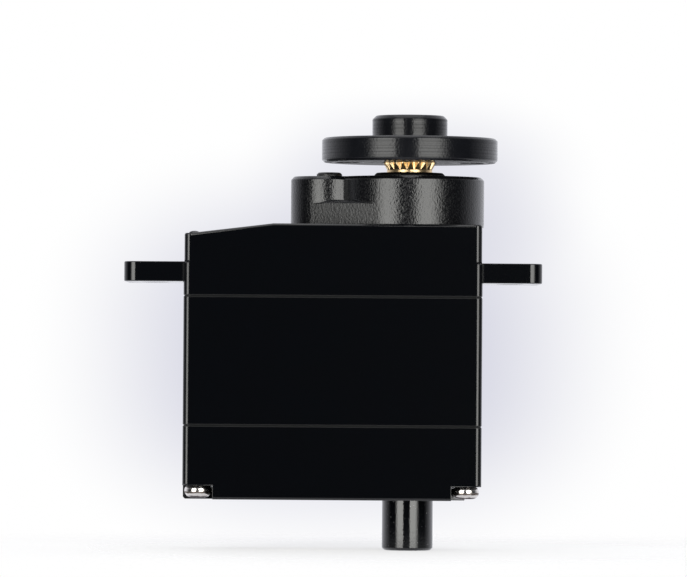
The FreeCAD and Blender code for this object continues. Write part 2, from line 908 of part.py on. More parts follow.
def make_motor_end_cap():
    flange_low = motor_low - end_cap_flange
    body = prism(motor_x, 0, motor_low, end_cap_top, 2 * can_inner, round_side_count)
    body = body.fuse(
        prism(motor_x, 0, flange_low, motor_low, motor_diameter - edge_bevel, round_side_count)
    )
    bore = motor_shaft_diameter + 2 * running
    body = body.cut(prism(motor_x, 0, motor_low, end_cap_top, bore, round_side_count))
    for side in (-1, 1):
        body = body.cut(brush_strip(side, end_cap_top - brush_height))
        body = body.cut(terminal_tab(side, flange_low, end_cap_top))
    return body.removeSplitter()


def brush_strip(side, low):
    """One leaf brush, from its terminal to the commutator's flank."""
    y_touch = side * (commutator_diameter / 2 + running)
    y_back = y_touch + side * brush_thickness
    high = coil_low() - air_gap
    return box(
        motor_x - terminal_reach,
        motor_x + commutator_diameter / 2,
        min(y_touch, y_back),
        max(y_touch, y_back),
        low,
        high,
    )


def make_motor_brushes():
    return [brush_strip(side, end_cap_top - brush_height) for side in (-1, 1)]


def terminal_tab(side, z_low, z_high):
    """One flat solder tab of the motor, standing in the end cap."""
    y = side * (commutator_diameter / 2 + running + brush_thickness)
    y_back = y + side * terminal_thickness
    x = motor_x - terminal_reach
    half = terminal_width / 2
    return box(x - half, x + half, min(y, y_back), max(y, y_back), z_low, z_high)


def make_motor_terminals():
    return [terminal_tab(side, board_top, end_cap_top) for side in (-1, 1)]


def make_sensor_body():
    """The sensor's round cup, whose mouth the plate above it closes."""
    floor_top = sensor_low + sensor_wall
    body = prism(0, 0, sensor_low, sensor_top, sensor_diameter, round_side_count)
    room = sensor_diameter - 2 * sensor_wall
    return body.cut(prism(0, 0, floor_top, sensor_top, room, round_side_count))


def sensor_legs(z_low, z_high):
    legs = []
    half = sensor_leg_side / 2
    for i in (-1, 0, 1):
        y = i * sensor_leg_pitch
        x = sensor_wall - math.sqrt(sensor_leg_radius**2 - y**2)
        legs.append(box(x - half, x + half, y - half, y + half, z_low, z_high))
    return legs


def make_sensor_track():
    low = sensor_low + sensor_wall
    high = low + track_thickness
    outer = wiper_diameter
    track = prism_tube(0, 0, low, high, outer, outer - 2 * track_width)
    return track.cut(box(0, outer, -track_width, track_width, low, high))


def make_sensor_wiper():
    high = wiper_low + wiper_thickness
    body = prism(0, 0, wiper_low, high, wiper_diameter, round_side_count)
    bore = prism(0, 0, wiper_low, high, lower_shaft + running, round_side_count)
    key = box(
        lower_shaft / 2 - shaft_flat + running,
        lower_shaft,
        -lower_shaft,
        lower_shaft,
        wiper_low,
        high,
    )
    body = body.cut(bore.cut(key))
    finger_x = (wiper_diameter - track_width) / 2
    half = wiper_finger_width / 2
    finger = box(
        -finger_x - half,
        -finger_x + half,
        -half,
        half,
        sensor_low + sensor_wall + track_thickness + running,
        wiper_low,
    )
    return body.fuse(finger).removeSplitter()


def make_control_board():
    body = case_room(board_underside, board_top, wall + board_clearance)
    for x, y in screw_places:
        x_side = -1 if x < case_centre else 1
        y_side = -1 if y < 0 else 1
        reach = pillar_width / 2 + board_clearance
        corner = box(
            min(x - x_side * reach, x + x_side * 2 * reach),
            max(x - x_side * reach, x + x_side * 2 * reach),
            min(y - y_side * reach, y + y_side * 2 * reach),
            max(y - y_side * reach, y + y_side * 2 * reach),
            board_underside,
            board_top,
        )
        body = body.cut(corner)
    return body


def make_controller_chip():
    half = chip_size / 2
    high = board_top + chip_height
    return box(chip_offset - half, chip_offset + half, -half, half, board_top, high)


def make_driver_chip():
    x_low = motor_x + motor_diameter / 2 + board_clearance
    half = driver_length / 2
    return box(x_low, x_low + driver_width, -half, half, board_top, board_top + driver_height)


def make_board_capacitors():
    parts = []
    half = capacitor_width / 2
    low = board_underside - capacitor_height
    x = case_left + wall + board_clearance + pillar_width / 2
    for i in range(capacitor_count):
        y = (i - (capacitor_count - 1) / 2) * capacitor_pitch
        parts.append(box(x, x + capacitor_length, y - half, y + half, low, board_underside))
    return parts


def socket_places():
    return [-socket_to_axis - i * socket_spacing for i in range(socket_count)]


def socket_body(x, clearance, z_low, z_high):
    half_x = socket_width / 2 + clearance
    half_y = socket_length / 2 + clearance
    return box(x - half_x, x + half_x, -half_y, half_y, z_low, z_high)


def socket_pin_row(x, z_low, z_high):
    pins = []
    half = socket_pin_side / 2
    for i in range(socket_pin_count):
        y = (i - (socket_pin_count - 1) / 2) * socket_pitch
        pins.append(box(x - half, x + half, y - half, y + half, z_low, z_high))
    return pins


def make_socket(x):
    """One bus socket: an open box with its mouth in the bottom face and a key slot in one side."""
    body = socket_body(x, 0.0, socket_setback, board_underside)
    mouth = socket_body(x, -socket_wall, socket_setback, board_underside - socket_floor)
    key = box(
        x + socket_width / 2 - socket_wall,
        x + socket_width / 2,
        -socket_key_width / 2,
        socket_key_width / 2,
        socket_setback,
        board_underside - 2 * socket_floor,
    )
    body = body.cut(mouth).cut(key)
    return cut_all(body, socket_pin_row(x, board_underside - socket_floor, board_underside))


def make_socket_pins(x):
    return socket_pin_row(x, socket_setback + socket_wall, board_underside)


def write(name, shape):
    """Writes one node, as one solid or as a group of separate solids."""
    solids = shape if isinstance(shape, list) else shape.Solids
    for solid in solids:
        if not solid.isValid():
            raise ValueError(name + " is not a valid solid")
    whole = solids[0] if len(solids) == 1 else Part.makeCompound(solids)
    whole.exportStep("parts/" + name + ".step")


os.makedirs("parts", exist_ok=True)

write("bottom_cover", make_bottom_cover())
write("middle_case", make_middle_case())
write("top_case", make_top_case())
write("case_screws", make_case_screws())
write("horn_disc", make_horn_disc())
write("horn_screw", make_horn_screw())
write("output_gear", make_output_gear())
write("output_bearing_outer", make_output_bearing_outer())
write("output_bearing_inner", make_output_bearing_inner())
write("bearing_balls", make_bearing_balls())
write("shaft_bush", make_shaft_bush())
write("gear_pin", make_gear_pin())
write("compound_gear_1", make_compound_gear_1())
write("compound_gear_2", make_compound_gear_2())
write("compound_gear_3", make_compound_gear_3())
write("motor_pinion", make_motor_pinion())
write("motor_shaft", make_motor_shaft())
write("motor_can", make_motor_can())
write("motor_magnet", make_motor_magnet())
write("rotor_coil", make_rotor_coil())
write("motor_commutator", make_motor_commutator())
write("motor_end_cap", make_motor_end_cap())
write("motor_brushes", make_motor_brushes())
write("motor_terminals", make_motor_terminals())
write("sensor_body", make_sensor_body())
write("sensor_track", make_sensor_track())
write("sensor_wiper", make_sensor_wiper())
write("sensor_legs", sensor_legs(board_top, sensor_low))
write("control_board", make_control_board())
write("controller_chip", make_controller_chip())
write("driver_chip", make_driver_chip())
write("board_capacitors", make_board_capacitors())
for i, place in enumerate(socket_places()):
    write("bus_socket_" + str(i + 1), make_socket(place))
    write("socket_pins_" + str(i + 1), make_socket_pins(place))
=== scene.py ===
import json
import math

import bmesh
import bpy
from mathutils import Matrix, Vector


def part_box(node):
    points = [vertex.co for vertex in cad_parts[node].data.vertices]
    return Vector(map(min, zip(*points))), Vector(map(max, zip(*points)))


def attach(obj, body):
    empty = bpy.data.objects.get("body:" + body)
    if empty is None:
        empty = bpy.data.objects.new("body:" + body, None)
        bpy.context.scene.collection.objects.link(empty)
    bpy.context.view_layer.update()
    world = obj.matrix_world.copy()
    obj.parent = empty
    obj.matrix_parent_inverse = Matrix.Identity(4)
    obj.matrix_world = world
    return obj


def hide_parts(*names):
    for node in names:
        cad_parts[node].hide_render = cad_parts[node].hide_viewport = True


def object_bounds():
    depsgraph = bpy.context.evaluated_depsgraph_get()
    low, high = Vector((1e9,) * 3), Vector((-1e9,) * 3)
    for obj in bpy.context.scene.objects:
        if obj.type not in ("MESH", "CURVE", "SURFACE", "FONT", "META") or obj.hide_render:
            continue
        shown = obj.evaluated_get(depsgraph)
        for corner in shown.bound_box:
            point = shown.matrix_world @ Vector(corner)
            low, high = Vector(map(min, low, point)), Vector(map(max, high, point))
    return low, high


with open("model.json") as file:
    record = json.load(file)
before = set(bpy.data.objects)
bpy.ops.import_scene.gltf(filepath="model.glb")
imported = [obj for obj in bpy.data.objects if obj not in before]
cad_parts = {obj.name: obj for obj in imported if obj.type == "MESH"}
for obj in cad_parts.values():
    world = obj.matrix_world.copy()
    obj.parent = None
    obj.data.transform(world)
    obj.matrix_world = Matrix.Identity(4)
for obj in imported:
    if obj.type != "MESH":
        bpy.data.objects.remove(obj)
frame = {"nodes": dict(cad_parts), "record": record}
cadBox = [list(corner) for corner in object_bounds()]
scene = bpy.context.scene
mm = 0.001  # sizes below are in millimetres


def boxOf(node):
    # a CAD node's box in millimetres, each side by its name
    low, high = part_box(node)
    sides = {"left": low.x, "right": high.x, "front": low.y, "back": high.y, "low": low.z, "high": high.z}
    return {side: round(value / mm, 4) for side, value in sides.items()}


coverBox, topBox, hornBox = boxOf("bottom_cover"), boxOf("top_case"), boxOf("horn_disc")
caseSizes = {
    "left": coverBox["left"],
    "right": coverBox["right"],
    "centre": (coverBox["left"] + coverBox["right"]) / 2,
    "side": coverBox["back"],
    "lowerSeam": coverBox["high"],
    "upperSeam": topBox["low"],
    "collarTop": topBox["high"],
}
print("frame loaded")


# Writing node trees
class Wire:
    # one output socket, with arithmetic on it
    def __init__(self, sheet, socket):
        self.sheet = sheet
        self.socket = socket

    def __add__(self, other):
        return self.sheet.maths("ADD", self, other)

    def __radd__(self, other):
        return self.sheet.maths("ADD", other, self)

    def __sub__(self, other):
        return self.sheet.maths("SUBTRACT", self, other)

    def __rsub__(self, other):
        return self.sheet.maths("SUBTRACT", other, self)

    def __mul__(self, other):
        return self.sheet.maths("MULTIPLY", self, other)

    def __rmul__(self, other):
        return self.sheet.maths("MULTIPLY", other, self)

    def __truediv__(self, other):
        return self.sheet.maths("DIVIDE", self, other)

    def __rtruediv__(self, other):
        return self.sheet.maths("DIVIDE", other, self)

    def __pow__(self, other):
        return self.sheet.maths("POWER", self, other)


class Sheet:
    # a node tree being written
    def __init__(self, tree):
        self.tree = tree

    def node(self, kind, settings=None, sockets=None, out=0):
        made = self.tree.nodes.new(kind)
        for name, value in (settings or {}).items():
            setattr(made, name, value)
        for name, value in (sockets or {}).items():
            if isinstance(value, Wire):
                self.tree.links.new(value.socket, made.inputs[name])
            else:
                made.inputs[name].default_value = value
        return Wire(self, made.outputs[out]) if made.outputs else None  # out is an index or a name

    def maths(self, operation, first, second=0.0):
        return self.node("ShaderNodeMath", {"operation": operation}, {0: first, 1: second})

    def absolute(self, value):
        return self.maths("ABSOLUTE", value)

    def vector(self, operation, first, second):
        other = "Scale" if operation == "SCALE" else 1
        return self.node("ShaderNodeVectorMath", {"operation": operation}, {0: first, other: second})

    def joined(self, x, y, z):
        return self.node("ShaderNodeCombineXYZ", None, {0: x, 1: y, 2: z})

    def parted(self, vector):
        first = self.node("ShaderNodeSeparateXYZ", None, {0: vector})
        return [Wire(self, socket) for socket in first.socket.node.outputs]

    def ranged(self, value, start, end, smooth=False, lowest=0.0):
        # lowest where the value is at start, 1 where it is at end, and held beyond both
        settings = {"interpolation_type": "SMOOTHSTEP" if smooth else "LINEAR"}
        sockets = {"Value": value, "From Min": start, "From Max": end, "To Min": lowest, "To Max": 1.0}
        return self.node("ShaderNodeMapRange", settings, sockets)

    def noise(self, place, perMm, detail=2.0, rough=0.5):
        sockets = {"Vector": place, "Scale": perMm, "Detail": detail, "Roughness": rough}
        return self.node("ShaderNodeTexNoise", None, sockets)

    def drawnNoise(self, place, across, along, detail=2.0, rough=0.5):
        # noise with one scale per mm across the upright axis and another along it
        x, y, z = self.parted(place)
        return self.noise(self.joined(x * across, y * across, z * along), 1.0, detail, rough)

    def blend(self, amount, first, second):
        # a mix of two colours, whose sockets have the same names as those for numbers
        return self.node("ShaderNodeMix", {"data_type": "RGBA"}, {0: amount, 6: first, 7: second}, 2)

    def bump(self, height, share=1.0, strength=1.0):
        # a bump from heights in millimetres, of which it takes a share
        sockets = {"Strength": strength, "Distance": share * mm, "Height": height}
        return self.node("ShaderNodeBump", None, sockets)


# Finishes
def newFinish(name):
    material = bpy.data.materials.new(name)
    material.use_nodes = True
    material.node_tree.nodes.clear()
    return material, Sheet(material.node_tree)


def closeFinish(sheet, sockets):
    shader = sheet.node("ShaderNodeBsdfPrincipled", None, sockets)
    sheet.node("ShaderNodeOutputMaterial", None, {"Surface": shader})


def millimetres(sheet):
    place = sheet.node("ShaderNodeTexCoord", out="Object")
    return sheet.vector("SCALE", place, 1 / mm)


def paint(colour, factor):
    return tuple(min(1.0, part * factor) for part in colour) + (1,)


mouldedSizes = {
    "grain": {"perMm": 8.0, "detail": 3, "rough": 0.6},
    "grainDepth": 0.006,
    "streaks": {"across": 9, "along": 0.8},
    "streakDepth": 0.003,
    "clouds": {"perMm": 0.35, "detail": 3, "rough": 0.55},
    "mottle": 0.25,
    "cloudPolish": 0.1,
    "grainPolish": 0.06,
}


def moulded(name, colour, rough):
    # injection-moulded plastic: sparked grain, faint tool streaks and a slow change of polish
    m = mouldedSizes
    material, sheet = newFinish(name)
    place = millimetres(sheet)
    grain = sheet.noise(place, **m["grain"])
    streaks = sheet.drawnNoise(place, **m["streaks"])
    clouds = sheet.noise(place, **m["clouds"])
    shade = sheet.blend(clouds, paint(colour, 1 - m["mottle"]), paint(colour, 1 + m["mottle"]))
    polish = rough + (clouds - 0.5) * m["cloudPolish"] + (grain - 0.5) * m["grainPolish"]
    height = grain * m["grainDepth"] + streaks * m["streakDepth"]
    closeFinish(sheet, {"Base Color": shade, "Roughness": polish, "Normal": sheet.bump(height)})
    return material


# each zone of the case's surface begins over a short stretch, given by its two ends
caseZones = {
    "housing": (21.4, 21.5),
    "shelf": (23.3, 23.1),
    "wallSide": (2.6, 3.0),
    "wallEnd": (-2.2, -3.4),
    "roof": (25.27, 25.3),
    "pin": (0.0, -0.05),
    "seam": (0.112, 0.1),
    "cornerInner": (11.1, 11.2),
    "cornerOuter": (11.75, 11.65),
    "cornerTop": (21.2, 21.0),
    "earEnd": (15.0, 16.1),
}

caseFinish = {
    "flatColour": (0.0012, 0.0015, 0.0022, 1),
    "grainColour": (0.0030, 0.0032, 0.0040, 1),
    "seamColour": (0.0045, 0.0048, 0.005, 1),
    "speckColour": (0.2, 0.2, 0.2, 1),
    "flatRough": 0.1,
    "grainRough": 0.22,
    "wallRough": 0.33,
    "earEndRough": 0.06,
    "cornerRough": 0.12,
    "seamRough": 0.3,
    "roofRough": 0.25,
    "upright": {"across": 7.5, "along": 5, "detail": 1, "rough": 0.4},
    "speckle": {"across": 9, "along": 6.5, "detail": 1, "rough": 0.5},
    "scratches": {"across": 1.2, "along": 16, "detail": 2, "rough": 0.6},
    "fine": {"perMm": 14.0, "detail": 2, "rough": 0.5},
    "clouds": {"perMm": 0.35, "detail": 3, "rough": 0.55},
    "specks": {"perMm": 7.0, "detail": 2, "rough": 0.4},
    "cloudShade": 0.4,
    "speckShade": 0.5,
    "speckleLevels": (0.36, 0.64),
    "speckLevels": (0.7, 0.74),
    "flatDepth": 0.0012,
    "housingDepth": 0.0165,
    "wallDepth": -0.003,
    "pinDepth": 0.004,
    "fineDepth": 0.0008,
    "fineHousingDepth": 0.002,
    "scratchDepth": 0.0006,
    "cloudPolish": 0.04,
    "finePolish": 0.03,
    "speckleRough": 0.15,
    "wallSpeckleRough": 0.05,
    "speckleCoat": 0.1,
    "pinCoat": 0.25,
}


def mouldedCase(name):
    # the case: flat sides, ears and pin polished in the mould, the gear housing sparked with an upright
    # grain that is a little shallower on the wall below its shelf
    f, zone = caseFinish, caseZones
    material, sheet = newFinish(name)
    place = millimetres(sheet)
    x, y, z = sheet.parted(place)
    fromCentre = sheet.absolute(x - caseSizes["centre"])
    onHousing = sheet.ranged(z, *zone["housing"])
    onWall = onHousing * sheet.ranged(z, *zone["shelf"]) * sheet.ranged(x, *zone["wallEnd"])
    onWall = onWall * sheet.ranged(sheet.absolute(y), *zone["wallSide"])
    onRoof = sheet.ranged(z, *zone["roof"])
    onPin = sheet.ranged(z, *zone["pin"])
    onEarEnd = sheet.ranged(fromCentre, *zone["earEnd"])
    onCorner = sheet.ranged(fromCentre, *zone["cornerInner"]) * sheet.ranged(fromCentre, *zone["cornerOuter"])
    onCorner = onCorner * sheet.ranged(z, *zone["cornerTop"])
    toLower, toUpper = sheet.absolute(z - caseSizes["lowerSeam"]), sheet.absolute(z - caseSizes["upperSeam"])
    inSeam = sheet.ranged(sheet.maths("MINIMUM", toLower, toUpper), *zone["seam"])

    upright = sheet.drawnNoise(place, **f["upright"])
    speckle = sheet.ranged(sheet.drawnNoise(place, **f["speckle"]), *f["speckleLevels"])
    scratches = sheet.drawnNoise(place, **f["scratches"])
    fine = sheet.noise(place, **f["fine"])
    clouds = sheet.noise(place, **f["clouds"])
    specks = sheet.ranged(sheet.noise(place, **f["specks"]), *f["speckLevels"]) * onPin

    depth = f["flatDepth"] + onHousing * f["housingDepth"] + onWall * f["wallDepth"] + onPin * f["pinDepth"]
    fineDepth = f["fineDepth"] + onHousing * f["fineHousingDepth"]
    height = upright * depth + fine * fineDepth + scratches * f["scratchDepth"]

    plain = sheet.blend(onHousing, f["flatColour"], f["grainColour"])
    tinted = sheet.blend(clouds * f["cloudShade"], plain, (0.0, 0.0, 0.0, 1))
    seamed = sheet.blend(inSeam, tinted, f["seamColour"])
    shade = sheet.blend(specks * f["speckShade"], seamed, f["speckColour"])

    polish = f["flatRough"] + onHousing * (f["grainRough"] - f["flatRough"])
    polish = polish + onWall * (f["wallRough"] - f["grainRough"])
    polish = polish + (clouds - 0.5) * f["cloudPolish"] + (fine - 0.5) * f["finePolish"]
    polish = polish + onEarEnd * f["earEndRough"] + onCorner * f["cornerRough"]
    polish = polish + inSeam * f["seamRough"] + onRoof * f["roofRough"]
    sparks = (speckle - 0.5) * onHousing * (f["speckleRough"] + onWall * f["wallSpeckleRough"])
    coat = onPin * f["pinCoat"] + speckle * onHousing * (1 - onWall) * f["speckleCoat"]
    closeFinish(
        sheet,
        {
            "Base Color": shade,
            "Roughness": polish + sparks,
            "Coat Weight": coat,
            "Normal": sheet.bump(height),
        },
    )
    return material


# painted reflection: the brown band and the dark rim on the screw heads stand in for reflections of a dark
# room
paintedReflectionSizes = {
    "paintedBrownReflection": (0.12, 0.095, 0.08, 1),
    "rimReflectionColour": (0.03, 0.017, 0.02, 1),
    "paintedReflectionStart": (0.42, 0.5),
    "paintedReflectionEnd": (0.64, 0.58),
    "rimReflectionEnd": (0.3, 0.24),
    "waver": 0.18,
    "brushed": {"across": 10, "along": 4, "detail": 3, "rough": 0.6},
    "brushedDepth": 0.004,
    "brushedPolish": 0.12,
    "blotches": {"perMm": 2.6, "detail": 3},
    "blotchDepth": 0.01,
    "paintedReflectionRough": 0.1,
}


def tarnished(name, colour, rough):
    # plated steel with painted reflection: a brown band painted on the rounded heads above their rim, and a
    # dark painted reflection on the rim
    t = paintedReflectionSizes
    material, sheet = newFinish(name)
    place = millimetres(sheet)
    z = sheet.parted(place)[2]
    brushed = sheet.drawnNoise(place, **t["brushed"])
    blotches = sheet.noise(place, **t["blotches"])
    level = z + (blotches - 0.5) * t["waver"]
    # painted reflection: browned where the heads would mirror a dark room, and darkened at the rim below
    paintedBrownReflection = sheet.ranged(level, *t["paintedReflectionStart"]) * sheet.ranged(level, *t["paintedReflectionEnd"])
    withBrownReflection = sheet.blend(paintedBrownReflection, paint(colour, 1), t["paintedBrownReflection"])
    shade = sheet.blend(sheet.ranged(level, *t["rimReflectionEnd"]), withBrownReflection, t["rimReflectionColour"])
    polish = rough + (brushed - 0.5) * t["brushedPolish"] + paintedBrownReflection * t["paintedReflectionRough"]
    bump = sheet.bump(brushed * t["brushedDepth"] + blotches * t["blotchDepth"])
    closeFinish(sheet, {"Base Color": shade, "Roughness": polish, "Metallic": 1.0, "Normal": bump})
    return material


turnedSizes = {
    "lines": {"perMm": 11.0, "detail": 3, "rough": 0.65},
    "lineDepth": 0.0022,
    "grit": {"perMm": 6.5, "detail": 1, "rough": 0.4},
    "gritDepth": 0.012,
    "scuffs": {"perMm": 1.6, "detail": 4, "rough": 0.6},
    "scuffPolish": 0.1,
    "linePolish": 0.08,
    "shadeSpread": 0.18,
    "shineLevels": (0.4, 0.62),
    "undersideZone": (0.04, 0.02),
    "undersideRough": 0.5,
}


def turned(name, colour, rough, metallic=1.0, share=1.0, underside=None, shine=0.0, specular=0.5):
    # cut on a lathe: fine rings about the upright axis, and small changes of polish along them
    t = turnedSizes
    material, sheet = newFinish(name)
    place = millimetres(sheet)
    x, y, z = sheet.parted(place)
    radius = (x * x + y * y) ** 0.5
    lines = sheet.noise(sheet.joined(radius, 0.0, z), **t["lines"])
    scuffs = sheet.noise(place, **t["scuffs"])
    grit = sheet.noise(place, **t["grit"])
    polish = rough + (scuffs - 0.5) * t["scuffPolish"] + (lines - 0.5) * t["linePolish"]
    if underside:
        onUnderside = sheet.ranged(z - underside, *t["undersideZone"])
        polish = polish + onUnderside * t["undersideRough"]
    spread = t["shadeSpread"]
    sockets = {
        "Base Color": sheet.blend(scuffs, paint(colour, 1 - spread), paint(colour, 1 + spread)),
        "Roughness": polish,
        "Metallic": metallic,
        "Specular IOR Level": specular,
        "Normal": sheet.bump(lines * t["lineDepth"] + grit * t["gritDepth"], share),
    }
    if shine:
        sockets["Coat Weight"] = sheet.ranged(lines, *t["shineLevels"]) * shine
    closeFinish(sheet, sockets)
    return material


cutSizes = {
    "brushed": {"across": 12, "detail": 3, "rough": 0.6},
    "brushedDepth": 0.002,
    "brushedPolish": 0.16,
    "pits": {"perMm": 10.0, "detail": 3},
    "pitDepth": 0.0015,
}


def cutMetal(name, colour, rough, along=1.0):
    # drawn, ground or sintered metal: brushed along one way and lightly pitted
    c = cutSizes
    material, sheet = newFinish(name)
    place = millimetres(sheet)
    brushed = sheet.drawnNoise(place, along=along, **c["brushed"])
    pits = sheet.noise(place, **c["pits"])
    shade = sheet.blend(pits, paint(colour, 0.85), paint(colour, 1.12))
    polish = rough + (brushed - 0.5) * c["brushedPolish"]
    bump = sheet.bump(brushed * c["brushedDepth"] + pits * c["pitDepth"])
    closeFinish(sheet, {"Base Color": shade, "Roughness": polish, "Metallic": 1.0, "Normal": bump})
    return material


windingSizes = {"pitch": 0.12, "lean": 0.15, "depth": 0.03}


def woundCopper(name, colour):
    # enamelled wire laid side by side, with painted shade in the grooves between the turns
    w = windingSizes
    material, sheet = newFinish(name)
    x, z = sheet.parted(millimetres(sheet))[::2]
    turns = sheet.absolute(sheet.maths("SINE", (z + x * w["lean"]) * (math.pi / w["pitch"])))
    shade = sheet.blend(turns, paint(colour, 0.45), paint(colour, 1.1))
    bump = sheet.bump(turns * w["depth"])
    closeFinish(sheet, {"Base Color": shade, "Roughness": 0.32, "Metallic": 0.85, "Normal": bump})
    return material


boardSizes = {
    "threadPitch": 0.25,
    "weaveDepth": 0.006,
    "clouds": {"perMm": 1.2, "detail": 3},
    "cloudPolish": 0.12,
}


def lacqueredBoard(name, colour):
    # glass-fibre cloth under lacquer
    b = boardSizes
    material, sheet = newFinish(name)
    place = millimetres(sheet)
    x, y = sheet.parted(place)[:2]
    warp, weft = (sheet.maths("SINE", side * (math.pi / b["threadPitch"])) for side in (x, y))
    weave = warp * weft * 0.5 + 0.5
    clouds = sheet.noise(place, **b["clouds"])
    shade = sheet.blend(weave * 0.5 + clouds * 0.5, paint(colour, 0.7), paint(colour, 1.35))
    sockets = {"Base Color": shade, "Roughness": 0.3 + clouds * b["cloudPolish"], "Coat Weight": 0.3}
    closeFinish(sheet, {**sockets, "Normal": sheet.bump(weave * b["weaveDepth"])})
    return material


hornBlack = {"metallic": 0.0, "underside": hornBox["low"], "shine": 0.35, "specular": 0.22}
finishes = {
    "case_black": mouldedCase("caseBlack"),
    "screw_nickel": tarnished("screwNickel", (0.76, 0.73, 0.70), 0.15),
    "horn_black": turned("hornBlack", (0.0040, 0.0043, 0.0055), 0.19, **hornBlack),
    "brass_bright": turned("brassBright", (0.9, 0.64, 0.36), 0.33, share=0.8),
    "gear_steel": cutMetal("gearSteel", (0.50, 0.50, 0.50), 0.34),
    "pin_steel": cutMetal("pinSteel", (0.64, 0.64, 0.65), 0.2),
    "bearing_steel": turned("bearingSteel", (0.72, 0.72, 0.73), 0.14, share=0.4),
    "can_steel": cutMetal("canSteel", (0.60, 0.60, 0.58), 0.26, 0.5),
    "magnet_grey": cutMetal("magnetGrey", (0.26, 0.26, 0.28), 0.42),
    "coil_copper": woundCopper("coilCopper", (0.72, 0.34, 0.16)),
    "cap_white": moulded("capWhite", (0.74, 0.71, 0.64), 0.45),
    "sensor_plastic": moulded("sensorPlastic", (0.03, 0.05, 0.16), 0.42),
    "track_carbon": moulded("trackCarbon", (0.02, 0.018, 0.016), 0.6),
    "board_green": lacqueredBoard("boardGreen", (0.02, 0.13, 0.05)),
    "chip_black": moulded("chipBlack", (0.012, 0.012, 0.013), 0.5),
    "capacitor_tan": moulded("capacitorTan", (0.45, 0.30, 0.16), 0.4),
    "socket_ivory": moulded("socketIvory", (0.72, 0.66, 0.50), 0.38),
    "leg_tin": cutMetal("legTin", (0.70, 0.70, 0.68), 0.28),
}
slotOf = {part["node"]: part["material_slot"] for part in frame["record"]["subparts"]}
for nodeName, nodeObject in frame["nodes"].items():
    nodeObject.data.materials.clear()
    nodeObject.data.materials.append(finishes[slotOf[nodeName]])
print("finishes made")


# Writing meshes
def linked(name, mesh):
    made = bpy.data.objects.new(name, mesh)
    scene.collection.objects.link(made)
    return made


def meshFrom(name, build):
    mesh = bpy.data.meshes.new(name)
    draft = bmesh.new()
    build(draft)
    draft.normal_update()
    draft.to_mesh(mesh)
    draft.free()
    return mesh


def baked(piece):
    # the piece with its modifiers worked into a plain mesh
    bpy.context.view_layer.update()
    graph = bpy.context.evaluated_depsgraph_get()
    mesh = bpy.data.meshes.new_from_object(piece.evaluated_get(graph))
    mesh.name = piece.name
    piece.modifiers.clear()
    piece.data = mesh
    return piece


def cutBy(piece, other, operation):
    # the piece after a boolean with a helper, which is thrown away
    cut = piece.modifiers.new("cut", "BOOLEAN")
    cut.operation = operation
    cut.solver = "EXACT"
    cut.object = other
    baked(piece)
    bpy.data.objects.remove(other)


def dressed(piece, body, slot, *nodes):
    piece.data.materials.clear()
    piece.data.materials.append(finishes[slot])
    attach(piece, body)
    if nodes:
        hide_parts(*nodes)


def lathed(name, profile, steps, centre=(0, 0)):
    # a closed solid turned about an upright axis from (radius, height) points, with its ends on the axis
    def build(draft):
        rings = []
        for radius, height in profile:
            if radius == 0:
                rings.append([draft.verts.new((centre[0] * mm, centre[1] * mm, height * mm))])
                continue
            ring = []
            for k in range(steps):
                angle = 2 * math.pi * k / steps
                x = centre[0] + radius * math.cos(angle)
                y = centre[1] + radius * math.sin(angle)
                ring.append(draft.verts.new((x * mm, y * mm, height * mm)))
            rings.append(ring)
        for low, high in zip(rings, rings[1:]):
            for k in range(steps):
                n = (k + 1) % steps
                if len(low) == 1:
                    draft.faces.new((low[0], high[n], high[k]))
                elif len(high) == 1:
                    draft.faces.new((low[k], low[n], high[0]))
                else:
                    draft.faces.new((low[k], low[n], high[n], high[k]))
        bmesh.ops.recalc_face_normals(draft, faces=draft.faces)

    return meshFrom(name, build)


def rounded(corner, before, after, radius, steps=5):
    # points of a rounded corner between two neighbours of an (r, z) outline
    tip, first, last = Vector(corner), Vector(before), Vector(after)
    start = tip + (first - tip).normalized() * radius
    end = tip + (last - tip).normalized() * radius
    points = []
    for k in range(steps + 1):
        t = k / steps
        point = start * (1 - t) ** 2 + tip * 2 * t * (1 - t) + end * t * t
        points.append((point.x, point.y))
    return points


def outlineOf(corners):
    # an (r, z) outline, in which a corner's third number is its rounding
    points = []
    for i, corner in enumerate(corners):
        if len(corner) == 3:
            points += rounded(corner[:2], corners[i - 1][:2], corners[i + 1][:2], corner[2])
        else:
            points.append(corner)
    return points


def smoothByAngle(mesh, degrees):
    for face in mesh.polygons:
        face.use_smooth = True
    draft = bmesh.new()
    draft.from_mesh(mesh)
    for edge in draft.edges:
        edge.smooth = len(edge.link_faces) != 2 or edge.calc_face_angle() < math.radians(degrees)
    draft.to_mesh(mesh)
    draft.free()


# Case and horn: CAD copies with a width for each edge
edgeSizes = {
    "widest": 0.1,
    "earWidest": 0.22,
    "earRim": 0.12,
    "fine": 0.05,
    "finest": 0.02,
    "least": 0.012,
    "shareOfFace": 0.32,
    "shareOfEdge": 0.4,
    "sharpDegrees": 24,
    "foldedDegrees": 150,
    "straightOn": -0.9,
    "runsOn": -0.8,
    "flatDegrees": 0.5,
    "mergeWithin": 0.0005,
    "segments": 3,
    "smallSegments": 2,
    "faceWeight": 60,
}

# where each kind of edge lies, in heights unless its name says otherwise
edgeZones = {
    "ears": (16.8, 18.5),
    "earsFromCentre": 11.75,
    "cornersFromCentre": (11.0, 11.7),
    "cornersFromAxis": 5.5,
    "cornersBelow": 21.0,
    "seamReach": 0.15,
    "slope": (20.5, 21.46),
    "slopeLeftOf": -10.5,
    "hornAbove": 26.3,
    "holesFromAxis": (3.8, 6.0),
    "footBelow": 1.2,
    "roof": (25.1, 25.3),
}


